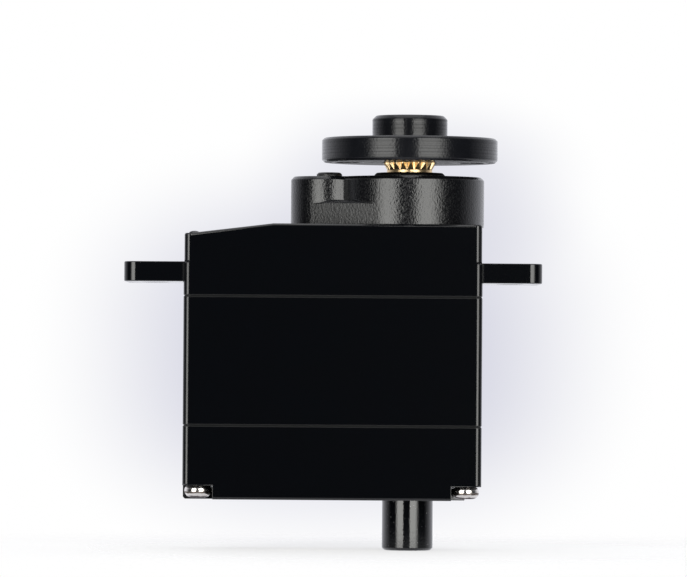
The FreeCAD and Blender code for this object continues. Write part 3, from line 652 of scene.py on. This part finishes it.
def roomBeside(edge, sharp):
    # how far an edge's two sides may move in before they run past the next corner
    room = edgeSizes["earWidest"]
    for face in edge.link_faces:
        room = min(room, edgeSizes["shareOfFace"] * face.calc_area() / edge.calc_length() / mm)
        for vert in edge.verts:
            along = (edge.other_vert(vert).co - vert.co).normalized()
            for other in vert.link_edges:
                if other == edge or face not in other.link_faces:
                    continue
                beside = other.other_vert(vert).co - vert.co
                straightOn = other in sharp and along.dot(beside.normalized()) < edgeSizes["straightOn"]
                if not straightOn:
                    room = min(room, edgeSizes["shareOfEdge"] * along.cross(beside).length / mm)
    return room


def within(value, zone):
    return zone[0] < value < zone[1]


def widthWanted(edge):
    zones = edgeZones
    middle = (edge.verts[0].co + edge.verts[1].co) / 2 / mm
    fromCentre = abs(middle.x - caseSizes["centre"])
    fromAxis = math.hypot(middle.x, middle.y)
    fromSeam = min(abs(middle.z - caseSizes[seam]) for seam in ("lowerSeam", "upperSeam"))
    onSide = abs(middle.y) > zones["cornersFromAxis"] and middle.z < zones["cornersBelow"]
    onCorner = onSide and within(fromCentre, zones["cornersFromCentre"])
    if onCorner or fromSeam < zones["seamReach"]:
        return 0.0
    if within(middle.z, zones["ears"]) and fromCentre > zones["earsFromCentre"]:
        upright = abs(edge.verts[0].co.z - edge.verts[1].co.z) > mm
        return edgeSizes["earWidest"] if upright else edgeSizes["earRim"]
    if middle.z > zones["hornAbove"] and within(fromAxis, zones["holesFromAxis"]):
        return edgeSizes["finest"]
    onSlope = within(middle.z, zones["slope"]) and middle.x < zones["slopeLeftOf"]
    if onSlope or middle.z < zones["footBelow"] or within(middle.z, zones["roof"]):
        return edgeSizes["fine"]
    return edgeSizes["widest"]


def evenChains(sharp):
    # edges that run on into one another take one width, the least that any of them has room for
    chains = {}
    left = set(sharp)
    while left:
        chain, waiting = [], [left.pop()]
        while waiting:
            edge = waiting.pop()
            chain.append(edge)
            for vert in edge.verts:
                along = (edge.other_vert(vert).co - vert.co).normalized()
                for other in vert.link_edges:
                    beside = (other.other_vert(vert).co - vert.co).normalized()
                    if other in left and along.dot(beside) < edgeSizes["runsOn"]:
                        left.discard(other)
                        waiting.append(other)
        width = min(min(widthWanted(edge), roomBeside(edge, sharp)) for edge in chain)
        chains[tuple(chain)] = width if width > edgeSizes["least"] else 0.0
    return chains


def softened(nodeName, pieceName, body, segments=edgeSizes["segments"]):
    # a merged copy of a CAD node whose sharp edges are rounded as far as the faces beside them allow
    mesh = bpy.data.meshes.new(pieceName)
    draft = bmesh.new()
    draft.from_mesh(frame["nodes"][nodeName].data)
    bmesh.ops.remove_doubles(draft, verts=draft.verts, dist=edgeSizes["mergeWithin"] * mm)
    flat = math.radians(edgeSizes["flatDegrees"])
    bmesh.ops.dissolve_limit(draft, angle_limit=flat, verts=draft.verts, edges=draft.edges, delimit=set())
    layer = draft.edges.layers.float.new("bevel_weight_edge")
    least, most = math.radians(edgeSizes["sharpDegrees"]), math.radians(edgeSizes["foldedDegrees"])
    closed = [edge for edge in draft.edges if len(edge.link_faces) == 2]
    sharp = {edge for edge in closed if least < edge.calc_face_angle() < most}
    for chain, width in evenChains(sharp).items():
        for edge in chain:
            edge[layer] = width / edgeSizes["earWidest"]
            edge.smooth = width > 0
    draft.to_mesh(mesh)
    draft.free()
    for face in mesh.polygons:
        face.use_smooth = True
    for stale in [layer.name for layer in mesh.attributes if layer.name == "custom_normal"]:
        mesh.attributes.remove(mesh.attributes[stale])
    piece = linked(pieceName, mesh)
    bevel = piece.modifiers.new("edges", "BEVEL")
    bevel.limit_method = "WEIGHT"
    bevel.width = edgeSizes["earWidest"] * mm
    bevel.segments = segments
    bevel.use_clamp_overlap = False
    bevel.face_strength_mode = "FSTR_ALL"
    weighted = piece.modifiers.new("shading", "WEIGHTED_NORMAL")
    weighted.weight = edgeSizes["faceWeight"]
    weighted.keep_sharp = True
    weighted.use_face_influence = True
    dressed(baked(piece), body, slotOf[nodeName], nodeName)


softened("bottom_cover", "caseBottom", "case")
softened("middle_case", "caseMiddle", "case")
softened("top_case", "caseTop", "case")
softened("horn_disc", "hornDisc", "output")
for index in ("1", "2"):
    softened("bus_socket_" + index, "busSocket" + index, "case", edgeSizes["smallSegments"])
    softened("socket_pins_" + index, "socketPins" + index, "case", edgeSizes["smallSegments"])
print("case and horn softened")


# Case corners
postSizes = {
    "radius": 0.45,
    "edge": 0.1,
    "edgeSlope": 0.8,
    "foot": 1.1,
    "earTop": 18.45,
    "tops": {"left": 20.66, "right": 21.43},
    "topInset": 0.05,
    "steps": 64,
}


def cornerPosts():
    # the four upright corners, rounded where the case parts have a flat
    p = postSizes
    radius, edge = p["radius"], p["edge"]
    neck = radius - edge * p["edgeSlope"]
    for side, inward in (("left", 1), ("right", -1)):
        heights = [p["foot"], caseSizes["lowerSeam"], caseSizes["upperSeam"], p["earTop"], p["tops"][side]]
        insets = [0.0, 0.0, 0.0, p["topInset"]]
        for row, facing in (("Front", -1), ("Back", 1)):
            centreY = facing * (caseSizes["side"] - radius)
            for level, (low, high, inset) in enumerate(zip(heights, heights[1:], insets), 1):
                profile = [(0, low), (neck, low), (radius, low + edge)]
                profile += [(radius, high - edge), (neck, high), (0, high)]
                centreX = caseSizes[side] + inward * (radius + inset)
                name = "corner" + side.capitalize() + row + str(level)
                mesh = lathed(name, profile, p["steps"], (centreX, centreY))
                smoothByAngle(mesh, 20)
                dressed(linked(name, mesh), "case", "case_black")


cornerPosts()
print("corners rounded")


# Gate mark
gateSizes = {
    "fromEnd": 0.8,
    "fromSide": 0.95,
    "level": 20.68,
    "radius": 0.42,
    "height": 0.17,
    "depth": 0.15,
    "domeSteps": 6,
    "steps": 32,
}


def gateMark():
    # the small rise that the mould's gate left at the low end of the sloping top
    g = gateSizes
    profile = [(0, -g["depth"]), (g["radius"], -g["depth"]), (g["radius"], 0)]
    for k in range(1, g["domeSteps"]):
        angle = math.pi / 2 * k / g["domeSteps"]
        profile.append((g["radius"] * math.cos(angle), g["height"] * math.sin(angle)))
    profile.append((0, g["height"]))
    place = (caseSizes["left"] + g["fromEnd"], g["fromSide"] - caseSizes["side"])
    profile = [(radius, g["level"] + height) for radius, height in profile]
    mesh = lathed("gateMark", profile, g["steps"], place)
    smoothByAngle(mesh, 50)
    dressed(linked("gateMark", mesh), "case", "case_black")


gateMark()


# Writing geometry-node trees
def newNodes(name, inputs):
    tree = bpy.data.node_groups.new(name, "GeometryNodeTree")
    face = tree.interface
    face.new_socket("Geometry", in_out="INPUT", socket_type="NodeSocketGeometry")
    face.new_socket("Geometry", in_out="OUTPUT", socket_type="NodeSocketGeometry")
    for label, kind in inputs.items():
        face.new_socket(label, in_out="INPUT", socket_type=kind)
    sheet = Sheet(tree)
    source = tree.nodes.new("NodeGroupInput")
    wires = {socket.name: Wire(sheet, socket) for socket in source.outputs if socket.name}
    return tree, sheet, wires


def closeNodes(sheet, geometry, material):
    realized = sheet.node("GeometryNodeRealizeInstances", None, {"Geometry": geometry})
    painted = sheet.node("GeometryNodeSetMaterial", None, {"Geometry": realized, "Material": material})
    sheet.node("NodeGroupOutput", None, {0: painted})


def shapeOf(sheet, helper):
    # the mesh of a helper object
    settings = {"transform_space": "ORIGINAL"}
    return sheet.node("GeometryNodeObjectInfo", settings, {"Object": helper}, "Geometry")


def grown(name, tree, values):
    # an object whose mesh comes from the tree alone
    piece = linked(name, bpy.data.meshes.new(name))
    modifier = piece.modifiers.new("make", "NODES")
    modifier.node_group = tree
    labels = {item.name: item.identifier for item in tree.interface.items_tree if item.in_out == "INPUT"}
    for label, value in values.items():
        modifier[labels[label]] = value
    return piece


# Bearing balls
bearingBox = boxOf("output_bearing_outer")
ballSizes = {
    "diameter": 0.72,
    "copies": 9,
    "ring": 2.75,
    "height": (bearingBox["low"] + bearingBox["high"]) / 2,
    "segments": 20,
    "rings": 12,
}


def ringTree(template, material):
    # copies of a template piece round the upright axis
    floats = {"Ring Radius": "NodeSocketFloat", "Height": "NodeSocketFloat"}
    tree, sheet, wires = newNodes("ballRing", {"Copies": "NodeSocketInt", **floats})
    sockets = {"Vertices": wires["Copies"], "Radius": wires["Ring Radius"]}
    ring = sheet.node("GeometryNodeMeshCircle", None, sockets)
    rise = sheet.joined(0.0, 0.0, wires["Height"])
    lifted = sheet.node("GeometryNodeTransform", None, {"Geometry": ring, "Translation": rise})
    index = sheet.node("GeometryNodeInputIndex")
    turn = sheet.joined(0.0, 0.0, index * 2 * math.pi / wires["Copies"])
    sockets = {"Points": lifted, "Instance": shapeOf(sheet, template), "Rotation": turn}
    closeNodes(sheet, sheet.node("GeometryNodeInstanceOnPoints", None, sockets), material)
    return tree


def bearingBalls():
    b = ballSizes

    def build(draft):
        radius = b["diameter"] / 2 * mm
        bmesh.ops.create_uvsphere(draft, u_segments=b["segments"], v_segments=b["rings"], radius=radius)

    mesh = meshFrom("ball", build)
    smoothByAngle(mesh, 60)
    template = linked("ballTemplate", mesh)
    values = {"Copies": b["copies"], "Ring Radius": b["ring"] * mm, "Height": b["height"] * mm}
    balls = grown("bearingBalls", ringTree(template, finishes["bearing_steel"]), values)
    dressed(baked(balls), "ball_set", "bearing_steel", "bearing_balls")
    bpy.data.objects.remove(template)


bearingBalls()
print("gate mark and bearing balls made")


# Output shaft with its spline
splineSizes = {
    "teeth": 20,
    "tip": 2.02,
    "root": 1.75,
    "low": caseSizes["collarTop"] + 0.27,
    "lowChamfer": 0.06,
    "lead": 0.5,
    "top": boxOf("output_gear")["high"],
    "topChamfer": 0.14,
    "topLead": 0.12,
    "envelopeGap": 0.03,
    "overrun": 0.3,
    "envelopeDepth": 0.2,
    "envelopeSteps": 120,
    "mergeWithin": 0.001,
    "neck": 1.765,
    "neckLow": 24.98,
    "neckRim": 0.01,
    "neckChamfer": 0.02,
    "neckOverlap": 0.05,
    "neckSteps": 96,
}


def splineTree():
    # a toothed outline, six points to a tooth, drawn up into a bar
    floats = {name: "NodeSocketFloat" for name in ("Tip Radius", "Root Radius", "Low", "Length")}
    tree, sheet, wires = newNodes("splineBar", {"Teeth": "NodeSocketInt", **floats})
    perTooth = 6
    sockets = {"Vertices": wires["Teeth"] * perTooth, "Radius": wires["Tip Radius"]}
    outline = sheet.node("GeometryNodeMeshCircle", {"fill_type": "NGON"}, sockets)
    index = sheet.node("GeometryNodeInputIndex")
    share = sheet.maths("FRACT", (index + perTooth - 0.5) / perTooth)
    fromTip = 1 - sheet.absolute(share * 2 - 1)
    depth = sheet.ranged(fromTip, 1 / perTooth, 5 / perTooth)
    radius = wires["Tip Radius"] - depth * (wires["Tip Radius"] - wires["Root Radius"])
    outward = sheet.vector("NORMALIZE", sheet.node("GeometryNodeInputPosition"), (0, 0, 0))
    place = sheet.vector("ADD", sheet.vector("SCALE", outward, radius), sheet.joined(0.0, 0.0, wires["Low"]))
    toothed = sheet.node("GeometryNodeSetPosition", None, {"Geometry": outline, "Position": place})
    sockets = {"Mesh": toothed, "Offset Scale": wires["Length"]}
    drawn = sheet.node("GeometryNodeExtrudeMesh", {"mode": "FACES"}, sockets)
    base = sheet.node("GeometryNodeFlipFaces", None, {"Mesh": toothed})
    both = tree.nodes.new("GeometryNodeJoinGeometry")
    tree.links.new(drawn.socket, both.inputs[0])
    tree.links.new(base.socket, both.inputs[0])
    sockets = {"Geometry": Wire(sheet, both.outputs[0]), "Distance": splineSizes["mergeWithin"] * mm}
    closed = sheet.node("GeometryNodeMergeByDistance", None, sockets)
    closeNodes(sheet, closed, finishes["brass_bright"])
    return tree


def outputSpline():
    # the toothed bar, cut to a turned envelope that lets the teeth run out at both ends
    s = splineSizes
    values = {
        "Teeth": s["teeth"],
        "Tip Radius": s["tip"] * mm,
        "Root Radius": s["root"] * mm,
        "Low": (s["low"] - s["overrun"]) * mm,
        "Length": (s["top"] - s["low"] + 2 * s["overrun"]) * mm,
    }
    piece = grown("outputSpline", splineTree(), values)
    foot, widest = s["low"] - s["envelopeDepth"], s["tip"] + s["envelopeGap"]
    profile = [
        (0, foot),
        (s["neck"] - s["lowChamfer"], foot),
        (s["neck"], s["low"]),
        (widest, s["low"] + s["lead"]),
        (widest, s["top"] - s["topLead"]),
        (s["tip"] - s["topChamfer"], s["top"]),
        (0, s["top"]),
    ]
    envelope = linked("splineEnvelope", lathed("splineEnvelope", profile, s["envelopeSteps"]))
    cutBy(piece, envelope, "INTERSECT")
    smoothByAngle(piece.data, 14)
    dressed(piece, "output", "brass_bright")


def outputNeck():
    # the turned neck between the bearing's shoulder and the teeth
    s = splineSizes
    foot, radius = s["neckLow"] - s["neckOverlap"], s["neck"] + s["neckRim"]
    profile = [(0, foot), (radius, foot), (radius, s["low"] - s["neckOverlap"])]
    profile += [(s["neck"] - s["neckChamfer"], s["low"]), (0, s["low"])]
    mesh = lathed("outputNeck", profile, s["neckSteps"])
    smoothByAngle(mesh, 25)
    dressed(linked("outputNeck", mesh), "output", "brass_bright")


def outputShaft():
    # the gear and the shaft up to the neck, cut from the CAD node
    draft = bmesh.new()
    draft.from_mesh(frame["nodes"]["output_gear"].data)
    bmesh.ops.remove_doubles(draft, verts=draft.verts, dist=edgeSizes["mergeWithin"] * mm)
    everything = draft.verts[:] + draft.edges[:] + draft.faces[:]
    level, up = (0, 0, splineSizes["neckLow"] * mm), (0, 0, 1)
    cut = bmesh.ops.bisect_plane(draft, geom=everything, plane_co=level, plane_no=up, clear_outer=True)
    rims = [item for item in cut["geom_cut"] if isinstance(item, bmesh.types.BMEdge)]
    bmesh.ops.holes_fill(draft, edges=rims, sides=0)
    mesh = bpy.data.meshes.new("outputShaft")
    draft.to_mesh(mesh)
    draft.free()
    smoothByAngle(mesh, 20)
    dressed(linked("outputShaft", mesh), "output", "brass_bright", "output_gear")


outputSpline()
outputShaft()
outputNeck()
print("output shaft and spline made")


# Screws
def crossCutter(name, span, width, start, end, taper):
    # a plus-shaped punch, with its full span at the start height and a share of it at the end height
    def build(draft):
        corners = []
        for quarter in range(4):
            turn = quarter * math.pi / 2
            for along, across in ((width / 2, width / 2), (span / 2, -width / 2), (span / 2, width / 2)):
                angle = (math.atan2(across, along) + turn) % (2 * math.pi)
                corners.append((angle, math.hypot(along, across)))
        rings = []
        for height, share in ((start, 1.0), (end, taper)):
            ring = []
            for angle, reach in sorted(corners):
                x, y = share * reach * math.cos(angle), share * reach * math.sin(angle)
                ring.append(draft.verts.new((x * mm, y * mm, height * mm)))
            draft.faces.new(ring)
            rings.append(ring)
        count = len(corners)
        for k in range(count):
            n = (k + 1) % count
            draft.faces.new((rings[0][k], rings[0][n], rings[1][n], rings[1][k]))
        bmesh.ops.recalc_face_normals(draft, faces=draft.faces)

    return linked(name, meshFrom(name, build))


def threadProfile(radius, low, high, pitch, depth):
    # rings that stand for a thread's crests and roots
    points = []
    count = int((high - low) / pitch)
    step = (high - low) / count
    for k in range(count):
        points.append((radius, low + step * (k + 0.1)))
        points.append((radius - depth, low + step * (k + 0.6)))
    return points


screwBox = boxOf("case_screws")
caseScrewSizes = {
    "low": screwBox["low"],
    "seat": 1.09,
    "headRadius": 1.05,
    "widestLevel": 0.68,
    "lowerRound": 0.5,
    "lowerSteps": 8,
    "upperRound": 0.42,
    "upperSteps": 5,
    "upperDegrees": 70,
    "shankRadius": 0.66,
    "tip": screwBox["high"],
    "tipRadius": 0.2,
    "recess": 1.25,
    "recessWidth": 0.32,
    "recessDepth": 0.5,
    "punchOverrun": 0.2,
    "recessTaper": 0.55,
    "threadFromSeat": 9,
    "threadToTip": 0.5,
    "pitch": 0.5,
    "threadDepth": 0.1,
    "firstTurn": 0.35,
    "turnStep": 0.7,
    "steps": 40,
}


def caseScrewTemplate():
    # a pan head that is widest part of the way up, with its recess underneath
    c = caseScrewSizes
    low, seat, radius, widest = c["low"], c["seat"], c["headRadius"], c["widestLevel"]
    profile = [(0, low)]
    for k in range(c["lowerSteps"] + 1):
        angle = math.pi / 2 * k / c["lowerSteps"]
        reach = radius - c["lowerRound"] * (1 - math.sin(angle))
        profile.append((reach, widest - (widest - low) * math.cos(angle)))
    last = math.radians(c["upperDegrees"])
    for k in range(1, c["upperSteps"] + 1):
        angle = last * k / c["upperSteps"]
        reach = radius - c["upperRound"] * (1 - math.cos(angle))
        profile.append((reach, widest + (seat - widest) * math.sin(angle) / math.sin(last)))
    shank = c["shankRadius"]
    profile.append((shank, seat))
    start, end = seat + c["threadFromSeat"], c["tip"] - c["threadToTip"]
    profile += threadProfile(shank, start, end, c["pitch"], c["threadDepth"])
    profile += [(c["tipRadius"], c["tip"]), (0, c["tip"])]
    screw = linked("screwTemplate", lathed("screwTemplate", profile, c["steps"]))
    start, floor = low - c["punchOverrun"], low + c["recessDepth"]
    cross = crossCutter("cross", c["recess"], c["recessWidth"], start, floor, c["recessTaper"])
    cutBy(screw, cross, "DIFFERENCE")
    smoothByAngle(screw.data, 28)
    return screw


def scatterTree(template, points, material):
    # one copy of a template at each vertex of a points object, each turned a little further
    floats = {"First Turn": "NodeSocketFloat", "Turn Step": "NodeSocketFloat"}
    tree, sheet, wires = newNodes("screwScatter", floats)
    index = sheet.node("GeometryNodeInputIndex")
    turn = sheet.joined(0.0, 0.0, index * wires["Turn Step"] + wires["First Turn"])
    sockets = {"Points": shapeOf(sheet, points), "Instance": shapeOf(sheet, template), "Rotation": turn}
    closeNodes(sheet, sheet.node("GeometryNodeInstanceOnPoints", None, sockets), material)
    return tree


def caseScrews():
    c = caseScrewSizes
    template = caseScrewTemplate()
    ends = (screwBox["left"] + c["headRadius"], screwBox["right"] - c["headRadius"])
    rows = (screwBox["front"] + c["headRadius"], screwBox["back"] - c["headRadius"])
    mesh = bpy.data.meshes.new("screwSpots")
    mesh.from_pydata([(x * mm, y * mm, 0) for y in rows for x in ends], [], [])
    spots = linked("screwSpots", mesh)
    values = {"First Turn": c["firstTurn"], "Turn Step": c["turnStep"]}
    piece = grown("caseScrews", scatterTree(template, spots, finishes["screw_nickel"]), values)
    dressed(baked(piece), "case", "screw_nickel", "case_screws")
    bpy.data.objects.remove(template)
    bpy.data.objects.remove(spots)


hornScrewBox = boxOf("horn_screw")
hornScrewSizes = {
    "top": hornScrewBox["high"],
    "tip": hornScrewBox["low"],
    "head": hornScrewBox["right"],
    "headHeight": 1.0,
    "shoulder": 0.35,
    "shoulderRound": 0.1,
    "crown": 0.5,
    "crownRound": 0.3,
    "crownDrop": 0.03,
    "shank": 0.95,
    "tipChamfer": 0.25,
    "tipLead": 0.3,
    "threadFromTip": 0.4,
    "threadToHead": 0.9,
    "pitch": 0.4,
    "threadDepth": 0.12,
    "edge": 0.05,
    "recess": 2.0,
    "recessWidth": 0.42,
    "recessDepth": 0.6,
    "punchOverrun": 0.2,
    "recessTaper": 0.55,
    "steps": 72,
}


def hornScrew():
    h = hornScrewSizes
    top, tip, head, shank, edge = h["top"], h["tip"], h["head"], h["shank"], h["edge"]
    seat = top - h["headHeight"]
    corners = [(0, tip), (shank - h["tipChamfer"], tip), (shank, tip + h["tipLead"])]
    start, end = tip + h["threadFromTip"], seat - h["threadToHead"]
    corners += threadProfile(shank, start, end, h["pitch"], h["threadDepth"])
    corners += [(shank - edge, seat), (head - edge, seat), (head, seat + edge)]
    corners.append((head, top - h["shoulder"], h["shoulderRound"]))
    corners.append((head - h["crown"], top - h["crownDrop"], h["crownRound"]))
    corners.append((0, top))
    screw = linked("hornScrew", lathed("hornScrew", outlineOf(corners), h["steps"]))
    start, floor = top + h["punchOverrun"], top - h["recessDepth"]
    cross = crossCutter("hornCross", h["recess"], h["recessWidth"], start, floor, h["recessTaper"])
    cutBy(screw, cross, "DIFFERENCE")
    smoothByAngle(screw.data, 28)
    dressed(screw, "output", "screw_nickel", "horn_screw")


caseScrews()
hornScrew()
print("screws made")


# Camera, at the photograph's viewing angle
cameraSizes = {
    "place": (caseSizes["centre"], -462.0, 10.76),
    "lens": 308.2,
    "sensor": 36,
    "up": 0.7117,
    "right": 0.1012,
    "roll": 0.4,
    "clip": (0.01, 20),
}


def addCamera():
    c = cameraSizes
    camera = bpy.data.cameras.new("camera")
    camera.sensor_fit = "HORIZONTAL"
    camera.sensor_width = c["sensor"]
    camera.lens = c["lens"]
    camera.clip_start, camera.clip_end = c["clip"]
    holder = linked("camera", camera)
    turn = Matrix.Rotation(math.radians(-c["right"]), 4, "Z")
    turn = turn @ Matrix.Rotation(math.radians(90 + c["up"]), 4, "X")
    turn = turn @ Matrix.Rotation(math.radians(c["roll"]), 4, "Z")
    holder.matrix_world = Matrix.Translation(Vector(c["place"]) * mm) @ turn
    scene.camera = holder


addCamera()


# Light
lightSizes = {
    "target": (caseSizes["centre"], 0, 12),
    "distance": 420,
    "left": {"angle": -37.5, "width": 281, "dimFrom": 0.42, "dimEnd": 0.0},
    "right": {"angle": 31.5, "width": 314, "dimFrom": 0.55, "dimEnd": 1.0},
    "height": 560,
    "centreHeight": 60,
    "radiance": 5.6,
    "dimLevel": 0.1,
    "colour": (1.0, 0.998, 0.965, 1),
    "top": {"behind": 60, "above": 420, "side": 300, "radiance": 1.2},
}


def softbox(name, place, width, height, radiance):
    light = bpy.data.lights.new(name, "AREA")
    light.shape = "RECTANGLE"
    light.size = width * mm
    light.size_y = height * mm
    light.energy = radiance * math.pi * light.size * light.size_y
    aim = (Vector(lightSizes["target"]) - Vector(place)).to_track_quat("-Z", "Y").to_matrix().to_4x4()
    linked(name, light).matrix_world = Matrix.Translation(Vector(place) * mm) @ aim
    return light


def dimmed(light, dimFrom, dimEnd):
    # full across the side that is nearer the camera, fading to the far edge
    light.use_nodes = True
    light.node_tree.nodes.clear()
    sheet = Sheet(light.node_tree)
    across = sheet.parted(sheet.node("ShaderNodeNewGeometry", out="Parametric"))[0]
    level = sheet.ranged(across, dimEnd, dimFrom, smooth=True, lowest=lightSizes["dimLevel"])
    glow = sheet.node("ShaderNodeEmission", None, {"Color": lightSizes["colour"], "Strength": level})
    sheet.node("ShaderNodeOutputLight", None, {"Surface": glow})


def addLights():
    centreX, centreY = lightSizes["target"][:2]
    for side in ("left", "right"):
        box = lightSizes[side]
        angle = math.radians(box["angle"])
        x = centreX + lightSizes["distance"] * math.sin(angle)
        y = centreY - lightSizes["distance"] * math.cos(angle)
        place = (x, y, lightSizes["centreHeight"])
        light = softbox(side + "Softbox", place, box["width"], lightSizes["height"], lightSizes["radiance"])
        dimmed(light, box["dimFrom"], box["dimEnd"])
    top = lightSizes["top"]
    softbox("topSoftbox", (centreX, top["behind"], top["above"]), top["side"], top["side"], top["radiance"])


addLights()


# World: what the part sees is a dim room in front and a white one behind
worldSizes = {
    "front": 0.02,
    "behind": 1.0,
    "above": 0.35,
    "below": 0.8,
    "behindZone": (-0.1, 0.6),
    "aboveZone": (0.2, 0.9),
    "belowZone": (-0.25, -0.6),
    "colour": (0.93, 0.94, 1.0, 1),
    "paintedShadowColour": (0.645, 0.65, 0.75, 1),
    "core": 0.25,
    "power": 2.6,
}

# painted shadow: the soft grey spots of the part's shadow that the camera sees on the backdrop about the
# part, by directions and half widths
paintedShadowSpots = [
    {"x": 0.0014, "z": 0.0015, "halfX": 0.0548, "halfZ": 0.038, "share": 1.0},
    {"x": 0.0142, "z": 0.0285, "halfX": 0.033, "halfZ": 0.0195, "share": 0.6},
]


def studioWorld():
    w = worldSizes
    world = bpy.data.worlds.new("studio")
    world.use_nodes = True
    world.node_tree.nodes.clear()
    sheet = Sheet(world.node_tree)
    x, y, z = sheet.parted(sheet.node("ShaderNodeTexCoord", out="Generated"))
    behind = sheet.ranged(y, *w["behindZone"])
    above = sheet.ranged(z, *w["aboveZone"])
    below = sheet.ranged(z, *w["belowZone"])
    level = w["front"] + behind * (w["behind"] - w["front"])
    level = level + (below * w["below"] + above * w["above"]) * (1 - behind)
    around = sheet.node("ShaderNodeBackground", None, {"Color": w["colour"], "Strength": level})
    # painted shadow: the backdrop greyed about the part where its shadow would fall
    clear = 1.0
    for spot in paintedShadowSpots:
        across = sheet.absolute((x - spot["x"]) / spot["halfX"]) ** w["power"]
        upward = sheet.absolute((z - spot["z"]) / spot["halfZ"]) ** w["power"]
        shade = sheet.ranged((across + upward) ** (1 / w["power"]), 1.0, w["core"], smooth=True)
        clear = (1 - shade * spot["share"]) * clear
    backdrop = sheet.blend(clear, w["paintedShadowColour"], (1, 1, 1, 1))
    seen = sheet.node("ShaderNodeBackground", None, {"Color": backdrop})
    fromCamera = sheet.node("ShaderNodeLightPath", out="Is Camera Ray")
    mixed = sheet.node("ShaderNodeMixShader", None, {0: fromCamera, 1: around, 2: seen})
    sheet.node("ShaderNodeOutputWorld", None, {"Surface": mixed})
    scene.world = world


studioWorld()


# Floor
floorSizes = {
    "reach": 60,
    "fade": (0.9, 0.2),
    "cover": 0.34,
    "paper": {"perMm": 3.0, "detail": 4, "rough": 0.6},
    "paperDepth": 0.02,
    "paperStrength": 0.4,
    "paperPolish": 0.2,
    "rough": 0.7,
    "darkColour": (0.9, 0.9, 0.92, 1),
    "lightColour": (0.95, 0.95, 0.96, 1),
}


def paleFloor():
    # a pale sheet that fades out a little way from the part
    f = floorSizes
    material, sheet = newFinish("paleFloor")
    place = millimetres(sheet)
    x, y = sheet.parted(place)[:2]
    paper = sheet.noise(place, **f["paper"])
    fade = sheet.ranged((x * x + y * y) ** 0.5 / f["reach"], *f["fade"], smooth=True)
    sockets = {
        "Base Color": sheet.blend(paper, f["darkColour"], f["lightColour"]),
        "Roughness": f["rough"] + (paper - 0.5) * f["paperPolish"],
        "Alpha": fade * f["cover"],
        "Normal": sheet.bump(paper, f["paperDepth"], f["paperStrength"]),
    }
    closeFinish(sheet, sockets)
    reach, level = f["reach"] * mm, cadBox[0][2]
    corners = [(-reach, -reach, level), (reach, -reach, level), (reach, reach, level), (-reach, reach, level)]
    mesh = bpy.data.meshes.new("floor")
    mesh.from_pydata(corners, [], [(0, 1, 2, 3)])
    mesh.materials.append(material)
    linked("floor", mesh)


paleFloor()
scene.view_settings.view_transform = "Standard"
scene.view_settings.look = "None"
print("camera and light set")
